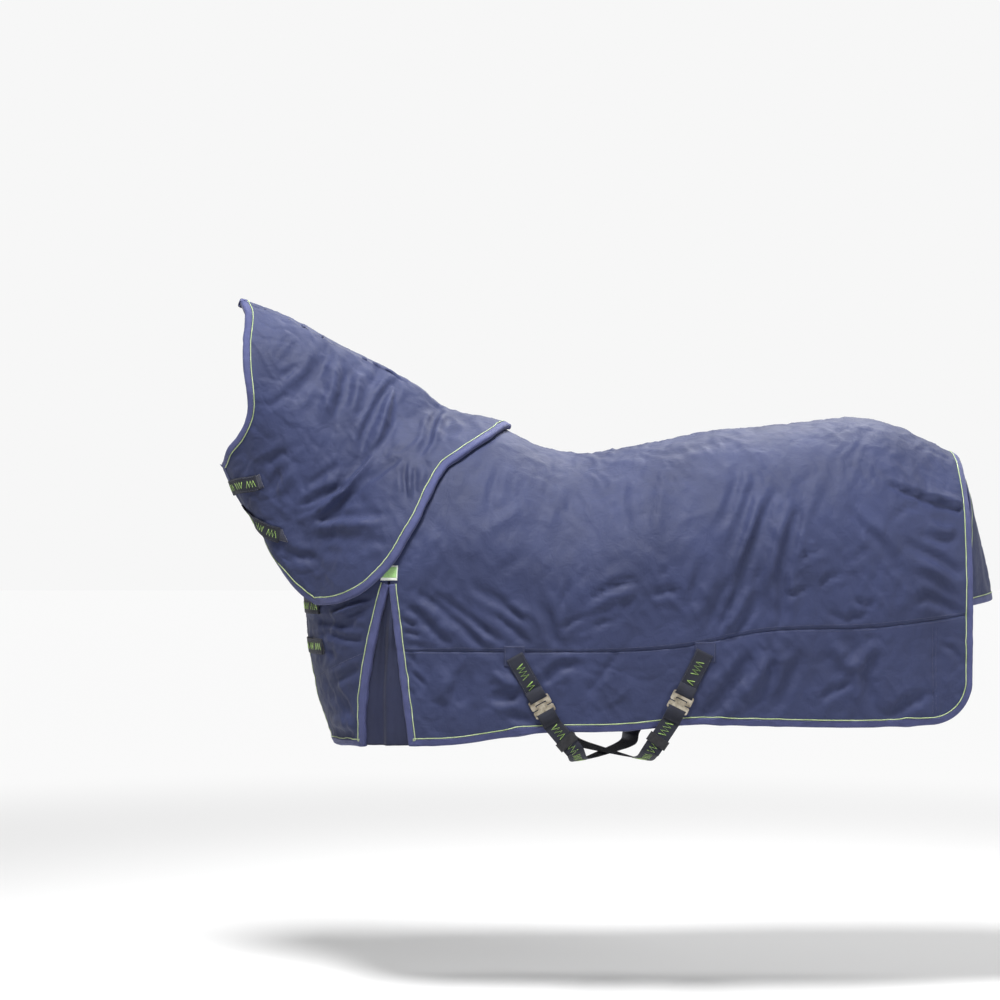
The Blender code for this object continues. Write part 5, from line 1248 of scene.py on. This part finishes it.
for name, border, ground, body in (("hem_tape_stitches", hem_border, RUG_GROUND, "rug"),
                                   ("front_tape_stitches", front_border, RUG_GROUND, "rug"),
                                   ("neck_tape_stitches", neck_border, NECK_GROUND, "neck_cover")):
    line = [laid(ground, p + inward * TAPE_STITCH_INSET, n, 1.6 * MM) for p, n, inward in border]
    stitches(name, line, [n for _, n, _ in border], body)


# ---------------------------------------------------------------- patches, labels and gussets

PLATE_WEB_Y, PLATE_HEIGHT, PLATE_THICK = -7.4 * MM, 25 * MM, 2 * MM
HOOK_HEIGHT, HOOK_PLATE_GAP, HOOK_WEB_EDGE = 19 * MM, 2.5 * MM, 6.5 * MM
TONGUE_THICK, HOOK_CLEARANCE, TOUCH_GAP = 1.8 * MM, 0.5 * MM, 0.3 * MM
HARDWARE_HEIGHT = SHELL_TOP + 4.6 * MM
BELLY_CROSSING = (0.273, -0.828)
CAD_WEB_THICK = 1.8 * MM


def mirrored(v):
    return Vector((v.x, -v.y, v.z))


def laid_patch(name, centre, size, ground, material, replaces=(), side=LEFT, thick=1.1 * MM,
               lift=0.25 * MM):
    """A rectangle of cloth lying on the rug, round a rib and a height."""
    rows = []
    for x in np.linspace(-size[0] / 2, size[0] / 2, PATCH_CELLS):
        row = []
        for z in np.linspace(size[1] / 2, -size[1] / 2, PATCH_CELLS):
            row.append(laid(ground, *on_trunk(centre[0] + x, centre[1] + z, side), lift + thick))
        rows.append(row)
    grid = relaxed(np.array(rows), 2)
    obj = piece(name, grid.reshape(-1, 3), grid_faces(PATCH_CELLS, PATCH_CELLS, flip=side == RIGHT), material,
                "rug",
                replaces)
    return thickened(obj, thick), grid


def outline_stitches(name, grid, inset, side):
    """Stitches round a patch."""
    n = grid_normals(grid) if side == LEFT else -grid_normals(grid)
    a, b = inset, grid.shape[0] - 1 - inset
    runs = [(a, a, a, b), (a, b, b, b), (b, b, b, a), (b, a, a, a)]
    line, normals = [], []
    for i0, j0, i1, j1 in runs:
        for t in np.linspace(0, 1, 9):
            i, j = int(round(mix(i0, i1, t))), int(round(mix(j0, j1, t)))
            normals.append(Vector(n[i, j]))
            line.append(Vector(grid[i, j]) + normals[-1] * 0.3 * MM)
    return stitches(name, line, normals, "rug", pitch=3.2 * MM, length=2.3 * MM)


def gusset(side, which):
    """The insert behind the shoulder opening, with its two loose pleats."""
    rows = slice(ROWS[0], None)
    s = np.linspace(0, 1, 40)[:, None]
    first, last = CHEST_EDGE[0][rows] - 0.016, REAR_EDGE[0][rows] + 0.016
    levels = mix(CHEST_EDGE[1][rows][None, :], REAR_EDGE[1][rows][None, :], s)
    rib = mix(first[None, :], last[None, :], s)
    down = np.linspace(0, 1, levels.shape[1])[None, :]
    pleat = 9.5 * np.exp(-((s - 0.70 + 0.16 * down) / 0.09) ** 2) - 9.0 * np.exp(-((s - 0.42) / 0.10) ** 2)
    pleat += 3.0 * np.exp(-((s - 0.86 + 0.14 * down) / 0.05) ** 2) * ease(down / 0.5)
    base, normal = trunk(rib, levels), trunk_normal(rib, levels)
    loose = ease(down / 0.35) * ease((1 - np.abs(2 * s - 1)) / 0.25)
    height = 2.2 * MM + pleat * loose * MM + noise_at(base, (0.05, 0.05, 0.08),
                                                      44.0 + side) * 2.0 * MM * loose
    grid = base + normal * np.maximum(height, -6 * MM)[..., None]
    obj = cloth("gusset_insert_" + which, grid, GUSSET, "rug", ["shoulder_gusset_" + which], side,
                0.9 * MM)


TAPES = [bpy.data.objects[n] for n in ("hem_tape", "front_tape", "hem_cord", "front_cord_left",
                                       "front_cord_right")]
for side, which in SIDES:
    gusset(side, which)
    label, label_grid = laid_patch("label_" + which, (-0.2745, -0.3605), (42 * MM, 37 * MM), RUG_GROUND,
                                   LABEL_EDGE,
                                   ["gusset_label_" + which], side, 1.0 * MM)
    laid_patch("label_field_" + which, (-0.2745, -0.3590), (37 * MM, 26 * MM), Ground([label]), LABEL,
               (),
               side, 0.5 * MM, 0.05 * MM)
    outline_stitches("label_stitches_" + which, label_grid, 0, side)


# ---------------------------------------------------------------- webbing

def section(centre, across, out, width, thick):
    """A ring round webbing with soft edges, slightly fuller in the middle."""
    w, h = width / 2, thick / 2
    flat = [(-1, -0.35), (-0.965, -0.85), (-0.8, -0.95), (0, -1), (0.8, -0.95), (0.965, -0.85), (1, -0.35),
            (1, 0.35), (0.965, 0.85), (0.8, 0.95), (0, 1), (-0.8, 0.95), (-0.965, 0.85), (-1, 0.35)]
    return [centre + across * x * w + out * y * h for x, y in flat]


def webbing(name, path, width, thick, body, replaces):
    """Webbing along a path of (centre, direction across it)."""
    points = [p for p, _ in path]
    rings = []
    for i, (p, across) in enumerate(path):
        normals = [across.cross(points[b] - points[a]).normalized() for a, b in ((i - 1, i), (i, i + 1))
                   if a >= 0 and b < len(points)]
        mitre = normals[0]
        if len(normals) == 2:
            mitre = (normals[0] + normals[1]) / max(0.5, 1 + normals[0].dot(normals[1]))
        rings.append(section(p, across, mitre, width, thick))
    return strip(name, rings, WEB, body, replaces)


def over_cloth(spots, ground, width, thick):
    """(centre, across, out) of webbing lying on the cloth over (point, out) spots."""
    line = with_tangents([p for p, _ in spots])
    ups = []
    for (p, along), (_, out) in zip(line, spots):
        across = along.cross(out).normalized()
        tops = [ground.top(p + across * s * width / 2, out) for s in (-1, -0.6, -0.2, 0.2, 0.6, 1)]
        tops = [t for t in tops if t is not None]
        ups.append(max(tops) if tops else 0.0)
    ups = [max(ups[max(i - 1, 0):i + 2]) for i in range(len(ups))]
    for _ in range(3):
        mean = [(ups[max(i - 1, 0)] + ups[i] * 2 + ups[min(i + 1,
                                                           len(ups) - 1)]) / 4 for i in range(len(ups))]
        ups = [max(a, b - 0.4 * MM) for a, b in zip(mean, ups)]
    centres = [p + out * (up + thick / 2 + WEB_GAP) for (p, out), up in zip(spots, ups)]
    return [(c, along.cross(out).normalized(), out)
            for (c, along), (_, out) in zip(with_tangents(centres), spots)]


def embroidery(name, run, body, thick, width=7 * MM, start=0.02, end=0.02, group=5):
    """A generic zigzag in groups along the middle of webbing, in place of lettering."""
    centres = [c + out * (thick / 2 + 0.35 * MM) for c, _, out in run]
    along = [0.0]
    for a, b in zip(centres, centres[1:]):
        along.append(along[-1] + (b - a).length)
    verts, faces = [], []
    place, step, k = start, 5.2 * MM, 0
    points = []

    def at(d):
        i = min(max(np.searchsorted(along, d) - 1, 0), len(centres) - 2)
        t = (d - along[i]) / max(along[i + 1] - along[i], 1e-9)
        return centres[i].lerp(centres[i + 1], t), run[i][1], run[i][2]

    while place < along[-1] - end:
        c, across, out = at(place)
        points.append((c + across * width * (0.5 if k % 2 else -0.5), out))
        k += 1
        place += step
        if k % group == 0 or place >= along[-1] - end:
            tube_into(verts, faces, points, 0.95 * MM)
            points = []
            place += 9 * MM
    if verts:
        obj = piece(name, verts, faces, LIME, body)
        make_outward(obj)


def tube_into(verts, faces, points, radius):
    if len(points) < 2:
        return
    base = len(verts)
    for (c, along), (_, out) in zip(with_tangents([p for p, _ in points]), points):
        across = along.cross(out).normalized()
        verts += [c + (across * math.cos(a) + out * math.sin(a) * 0.55) * radius
                  for a in (2 * math.pi * j / EMBROIDERY_SIDES for j in range(EMBROIDERY_SIDES))]
    sides, last = EMBROIDERY_SIDES, (len(points) - 1) * EMBROIDERY_SIDES
    faces += [tuple(v + base for v in f) for f in grid_faces(len(points), sides, wrap=True)]
    faces += [tuple(base + j for j in reversed(range(sides))), tuple(base + last + j for j in range(sides))]


def edge_stitches(name, run, body, width, thick):
    line, normals = [], []
    for sign in (-1, 1):
        part = [c + across * sign * (width / 2 - 3 * MM) + out * (thick / 2 + 0.2 * MM) for c, across,
                out in run]
        line += part if sign < 0 else part[::-1]
        normals += [out for _, _, out in (run if sign < 0 else run[::-1])]
    stitches(name, line, normals, body, pitch=3.6 * MM, length=2.4 * MM, radius=0.35 * MM)


def sewn_strap(name, run):
    """A strap that is its own body, with its zigzag and its edge stitches. Its free end has no stitches."""
    webbing(name + "_web", [(c, a) for c, a, _ in run], STRAP_WIDTH, STRAP_THICK, name, [name])
    embroidery(name + "_pattern", run, name, STRAP_THICK, 17 * MM, 0.008, 0.008, 7)
    edge_stitches(name + "_stitches", run[1:-6], name, STRAP_WIDTH, STRAP_THICK)


# The straps that close the chest.
for z, which in ((-0.447, "upper"), (-0.549, "lower")):
    patch, _ = laid_patch("chest_loop_" + which, (-0.520, z), (60 * MM, 40 * MM), RUG_GROUND, LOOP,
                          ["chest_loop_patch_" + which], LEFT, 1.4 * MM)
    ground = Ground(OUTER + TAPES + [patch])
    spots = [on_trunk(r, z, LEFT) for r in np.linspace(-0.487, CENTRE_FRONT, 30)]
    spots += [on_trunk(r, z, RIGHT) for r in np.linspace(CENTRE_FRONT, -0.525, 24)[1:]]
    run = over_cloth(spots, ground, STRAP_WIDTH, STRAP_THICK)
    sewn_strap("chest_strap_" + which, run)


# ---------------------------------------------------------------- the throat straps

NECK_NORMALS = unit(grid_normals(NECK))


def on_neck(u, v, side):
    """(point on the outer cloth, normal) of the neck cover."""
    i, j = u * (NECK.shape[0] - 1), np.clip(v, 0, 1) ** 0.8 * (NECK.shape[1] - 1)
    a, b = int(i), min(int(j), NECK.shape[1] - 2)
    p = mix(mix(NECK[a, b], NECK[a + 1, b], i - a), mix(NECK[a, b + 1], NECK[a + 1, b + 1], i - a), j - b)
    n = NECK_NORMALS[a, min(b, NECK.shape[1] - 5)]
    p, n = Vector(p + n * NECK_SHELL_TOP), Vector(n)
    return (p, n) if side == LEFT else (mirrored(p), mirrored(n))


neck_tape = bpy.data.objects["neck_tape"]
for u, which in ((0.30, "upper"), (0.62, "lower")):
    rows = []
    for du in np.linspace(-0.024, 0.024, 10):
        rows.append([laid(NECK_GROUND, *on_neck(u + du * 1.6, v, LEFT),
                          1.6 * MM) for v in np.linspace(0.75, 0.90, 14)])
    patch = piece("throat_loop_" + which, np.array(rows).reshape(-1, 3), grid_faces(10, 14), LOOP,
                  "neck_cover",
                  ["throat_loop_patch_" + which])
    thickened(patch, 1.3 * MM)
    left = [on_neck(u, v, LEFT) for v in np.linspace(0.772, 0.992, 22)]
    right = [on_neck(u, v, RIGHT) for v in np.linspace(0.992, 0.884, 14)]
    middle_out = (left[-1][1] + right[0][1]).normalized()
    count = len(left)
    spots = []
    for k, (p, n) in enumerate(left + right):
        near = math.exp(-((k - count + 0.5) / 3.0) ** 2)
        spots.append((p, n.lerp(middle_out, 0.9 * near).normalized()))
    spots.insert(count, ((left[-1][0] + right[0][0]) / 2 + middle_out * 2 * MM, middle_out))
    run = over_cloth(spots, Ground([neck_outer, neck_tape, patch]), STRAP_WIDTH, STRAP_THICK)
    sewn_strap("throat_strap_" + which, run)


# ---------------------------------------------------------------- the cross surcingles

def frame_at(p, down, out):
    across = down.cross(out).normalized()
    down = out.cross(across).normalized()
    matrix = Matrix((across, down, out)).transposed().to_4x4()
    matrix.translation = p
    return matrix


def run_on_trunk(start, end, count, side, ground):
    spots = [on_trunk(mix(start[0], end[0], t), mix(start[1], end[1], t),
                      side) for t in np.linspace(0, 1, count)]
    return over_cloth(spots, ground, WEB_WIDTH, WEB_THICK)


def surcingle(name, spec, ground):
    (x0, z0), (x1, z1) = spec["anchor"], spec["plate"]
    p, out = on_trunk(x1, z1, LEFT, 0.0)
    above, _ = on_trunk(mix(x1, x0, 0.3), mix(z1, z0, 0.3), LEFT, 0.0)
    matrix = frame_at(p + out * HARDWARE_HEIGHT, (p - above).normalized(), out)
    across = matrix.to_3x3() @ Vector((1, 0, 0))
    flat = run_on_trunk(spec["anchor"], (mix(x0, x1, 0.72), mix(z0, z1, 0.72)), 16, LEFT, ground)
    front = PLATE_THICK / 2 + 2 * TOUCH_GAP + CAD_WEB_THICK / 2
    bend = [(-17 * MM, -front), (PLATE_WEB_Y - 1 * MM, -front), (PLATE_WEB_Y, -front + 0.9 * MM),
            (PLATE_WEB_Y, front - 0.9 * MM), (PLATE_WEB_Y - 1 * MM, front), (-17 * MM, front),
            (-36 * MM, 2.6 * MM)]
    sign = 1 if flat[0][1].dot(across) > 0 else -1
    path = [(c, a * sign) for c, a, _ in flat] + [(matrix @ Vector((0, y, z)), across) for y, z in bend]
    webbing(name + "_left_web", path, WEB_WIDTH, CAD_WEB_THICK, "rug", [name + "_strap_left"])
    embroidery(name + "_left_pattern", flat, "rug", WEB_THICK, 19 * MM, 0.026, 0.0, 8)
    edge_stitches(name + "_left_stitches", flat, "rug", WEB_WIDTH, WEB_THICK)
    belly_web(name, spec, matrix, across, ground)


def belly_web(name, spec, matrix, across, ground):
    """Round the hook's lower bar, down past the hem, under the belly and up to the right."""
    middle = PLATE_THICK / 2 + HOOK_CLEARANCE + TONGUE_THICK / 2
    off = TONGUE_THICK / 2 + 2 * TOUCH_GAP + CAD_WEB_THICK / 2
    slot = PLATE_HEIGHT / 2 + HOOK_PLATE_GAP + HOOK_HEIGHT - HOOK_WEB_EDGE
    bend = [(slot + 34 * MM, middle - off + 4.4 * MM), (slot + 10 * MM, middle + off),
            (slot + 1 * MM, middle + off),
            (slot, middle + off - 0.9 * MM), (slot, middle - off + 0.9 * MM), (slot + 1 * MM, middle - off),
            (slot + 10 * MM, middle - off), (slot + 36 * MM, middle - off + 1.5 * MM)]
    turned = [matrix @ Vector((0, y, z)) for y, z in bend]
    x2, z2 = spec["slider"]
    cross_x, cross_z = BELLY_CROSSING
    cross_z -= spec["belly_drop"]
    reach = float(trunk(x2, level_of(x2, -0.78))[1]) - 22 * MM
    start, hang = turned[-1], Vector((x2, reach, z2))
    under = [(0.12, 0.84, 7 * MM), (0.35, 0.60, 1 * MM), (0.70, 0.28, 0.0), (1.0, 0.0, 0.0),
             (1.30, -0.28, 0.0), (1.65, -0.60, 1 * MM), (1.88, -0.84, 7 * MM)]
    free = [start, mix(start, hang, 0.25), mix(start, hang, 0.95), hang]
    free += [Vector((mix(x2, cross_x, t), reach * y, cross_z + up)) for t, y, up in under]
    free.append(Vector((2 * cross_x - x2, -reach + 5 * MM, z2)))
    far = spec["far"]
    low = (mix(2 * cross_x - x2, far[0], 0.30), mix(z2, far[1], 0.30))
    climb = run_on_trunk(low, far, 22, RIGHT, ground)
    straight = [mix(start, hang, t) for t in np.linspace(0, 0.9, 14)[:-1]]
    curve = spline([tuple(p) for p in [mix(start, hang, 0.9), *free[3:], climb[0][0]]])
    middle_run = straight + [Vector(p) for p in curve(np.linspace(0, 1, 118))][:-1]
    run = []
    for k, (p, along) in enumerate(with_tangents(middle_run)):
        down = min(0.0, (p.z + 0.78) * 6)
        out = Vector((0.0, p.y, down * ease(k / 30) if p.y < 0 else down)).normalized()
        side_on = along.cross(out).normalized()
        side_on = side_on if side_on.dot(across) > 0 or p.y > 0 or k > 40 else -side_on
        run.append((p, side_on))
    first = run[0][1]
    sign = 1 if first.dot(across) > 0 else -1
    path = [(q, across) for q in turned[:-1]]
    for k, (p, a) in enumerate(run):
        path.append((p, across.lerp(a * sign, float(ease(k / 12))).normalized()))
    last = path[-1][1]
    match = 1 if climb[0][1].dot(last) > 0 else -1
    path += [(c, a * match) for c, a, _ in climb]
    webbing(name + "_belly_web", path, WEB_WIDTH, CAD_WEB_THICK, "rug", [name + "_belly_strap"])
    shown = [(p, a * -1 if sign < 0 else a, a.cross(path[k + 1][0] - p).normalized())
             for k, (p, a) in enumerate(path[len(turned) - 1:-1], len(turned) - 1)]
    shown = [(p, a, o if o.dot(Vector((0, p.y, -0.2))) > 0 else -o) for p, a, o in shown]
    embroidery(name + "_belly_pattern", shown[:34], "rug", CAD_WEB_THICK, 19 * MM, 0.004, 0.0, 8)
    embroidery(name + "_climb_pattern", climb, "rug", WEB_THICK, 19 * MM, 0.01, 0.05, 8)


ground = Ground(OUTER + TAPES)
anchors = []
for name, spec in SURCINGLES.items():
    other = {"front": "rear", "rear": "front"}[name]
    for which, spot, side, owner in (("left", spec["anchor"], LEFT, name),
                                     ("right", spec["far"], RIGHT, other)):
        made, patch_grid = laid_patch(f"{owner}_patch_{which}", spot, (52 * MM, 52 * MM), ground, ANCHOR,
                                      [f"{owner}_anchor_{which}"], side, 1.2 * MM)
        outline_stitches(f"{owner}_patch_stitches_{which}", patch_grid, 1, side)
        anchors.append(made)
ground = Ground(OUTER + TAPES + anchors)
for name, spec in SURCINGLES.items():
    surcingle(name, spec, ground)


# ---------------------------------------------------------------- seams

for side, which in SIDES:
    back, lower, chest = GRIDS[side]
    row = ROWS[0] + ROWS[1]
    runs = [("seam_upper", back, lambda g: g[1:-1, -2]), ("seam_lower", lower, lambda g: g[1:-1, 1]),
            ("chest_seam", chest, lambda g: g[2:-2, row]), ("shoulder_seam", back, lambda g: g[1, :ROWS[0]])]
    for label_name, grid, pick in runs:
        line, normals = pick(grid), pick(grid_normals(grid))
        if side == RIGHT:
            line, normals = flipped(line), flipped(normals)
        normals = eased(vectors(normals), 4)
        line = [p + n * 0.25 * MM for p, n in zip(vectors(line), normals)]
        stitches(f"{label_name}_stitches_{which}", line, normals, "rug", pitch=4.6 * MM,
                 length=3.2 * MM)
    for k, shift in enumerate((-4 * MM, 4 * MM)):
        spots = [on_trunk(REAR_SEAM_X + shift, z, side) for z in np.linspace(-0.497, -0.712, 40)]
        line = [laid(RUG_GROUND, p, n, 0.25 * MM) for p, n in spots]
        stitches(f"rear_seam_stitches_{which}_{k}", line, [n for _, n in spots], "rug",
                 pitch=4.6 * MM,
                 length=3.2 * MM)


# ---------------------------------------------------------------- the CAD nodes and the stage

# Only the plates, the hooks, the sliders and the two patches at the withers still show.
LOOKS = [("plate", NICKEL), ("hook", NICKEL), ("slider", BLACK), ("loop_patch", LOOP), ("hook_patch", LOOP),
         ("loop", LOOP), ("label", LABEL), ("gusset", GUSSET), ("anchor", ANCHOR), ("strap", WEB),
         ("binding", TAPE), ("piping", CORD), ("lining", LINING), ("shell", SHELL), ("fill", LINING)]
PLAIN_WEB = cloth_material("webbing_plain", (0.010, 0.012, 0.028), (0.020, 0.023, 0.050), 0.62, 0.2, 300.0,
                           0.2)
PLAIN_TAPE = cloth_material("tape_plain", (0.036, 0.043, 0.120), (0.052, 0.060, 0.158), 0.62, 0.3, 300.0, 0.2)
PLAIN_CORD = cloth_material("cord_plain", (0.50, 0.60, 0.42), (0.72, 0.80, 0.62), 0.30, 0.1, 300.0, 0.1)
PLAIN = {WEB: PLAIN_WEB, TAPE: PLAIN_TAPE, CORD: PLAIN_CORD}
for name, obj in NODES.items():
    look = next((m for key, m in LOOKS if key in name and not (key == "hook" and "patch" in name)), SHELL)
    obj.data.materials.clear()
    obj.data.materials.append(PLAIN.get(look, look))
    if look in (NICKEL, BLACK):
        soft = obj.modifiers.new("soft_edges", "BEVEL")
        soft.width, soft.segments, soft.limit_method = 0.45 * MM, 2, "ANGLE"

floor_mesh = bpy.data.meshes.new("floor")
floor_mesh.from_pydata([(x * FLOOR_REACH, y * FLOOR_REACH, FLOOR_Z) for x,
                        y in ((-1, -1), (1, -1), (1, 1), (-1, 1))],
                       [], [(0, 1, 2, 3)])
floor = bpy.data.objects.new("floor", floor_mesh)
bpy.context.scene.collection.objects.link(floor)
floor_look, floor_tree, floor_shader = new_material("floor_pale", (FLOOR_GREY,) * 3, 0.9)
floor_mesh.materials.append(floor_look)

# Far from the rug the floor is as bright as the walls, so that no horizon shows.
spot = places(floor_tree, (1, 1, 0))
far = node(floor_tree, "ShaderNodeVectorMath", operation="LENGTH")
floor_tree.links.new(spot, far.inputs[0])
glow = ranged(floor_tree, far.outputs["Value"], GLOW_REACH, (0.0, WALL_BRIGHT), "SMOOTHSTEP")
shade = ranged(floor_tree, glow, (0.0, WALL_BRIGHT), (FLOOR_GREY, 0.0))
floor_tree.links.new(shade, floor_shader.inputs["Base Color"])
floor_tree.links.new(glow, floor_shader.inputs["Emission Strength"])
floor_shader.inputs["Emission Color"].default_value = (1, 1, 1, 1)

camera = bpy.data.objects.new("camera", bpy.data.cameras.new("camera"))
bpy.context.scene.collection.objects.link(camera)
camera.location, camera.rotation_euler = (0, -CAMERA_AWAY, CAMERA_Z), (math.pi / 2, 0, 0)
camera.data.sensor_width, camera.data.lens = SENSOR, SENSOR / VIEW_WIDTH * CAMERA_AWAY
bpy.context.scene.camera = camera


def lamp(name, place, aim, size, power):
    data = bpy.data.lights.new(name, "AREA")
    data.shape, data.size, data.energy = "DISK", size, power
    obj = bpy.data.objects.new(name, data)
    obj.location = place
    obj.rotation_euler = (Vector(aim) - Vector(place)).to_track_quat("-Z", "Y").to_euler()
    bpy.context.scene.collection.objects.link(obj)


lamp("key", (-0.5, -1.9, 4.0), (0.25, 0, -0.2), 1.6, 500)
lamp("rim", (1.4, 2.6, 3.4), (0.3, 0, -0.2), 2.2, 230)
lamp("tail", (3.6, -2.4, 1.2), (1.2, 0, -0.3), 1.4, 70)

# A pale studio whose walls are bright at eye level and dim above.
world = bpy.data.worlds.new("sky")
bpy.context.scene.world = world
world.use_nodes = True
tree = world.node_tree
direction = node(tree, "ShaderNodeTexCoord")
axes = node(tree, "ShaderNodeSeparateXYZ")
height = node(tree, "ShaderNodeMath", operation="ABSOLUTE")
tree.links.new(direction.outputs["Generated"], axes.inputs["Vector"])
tree.links.new(axes.outputs["Z"], height.inputs[0])
fade = ranged(tree, height.outputs[0], (0.19, 0.30), (WALL_BRIGHT, CEILING_BRIGHT), "SMOOTHSTEP")
tree.links.new(fade, tree.nodes["Background"].inputs["Strength"])
tree.nodes["Background"].inputs["Color"].default_value = (1, 1, 1, 1)
bpy.context.scene.view_settings.view_transform = "Standard"

bpy.context.view_layer.update()
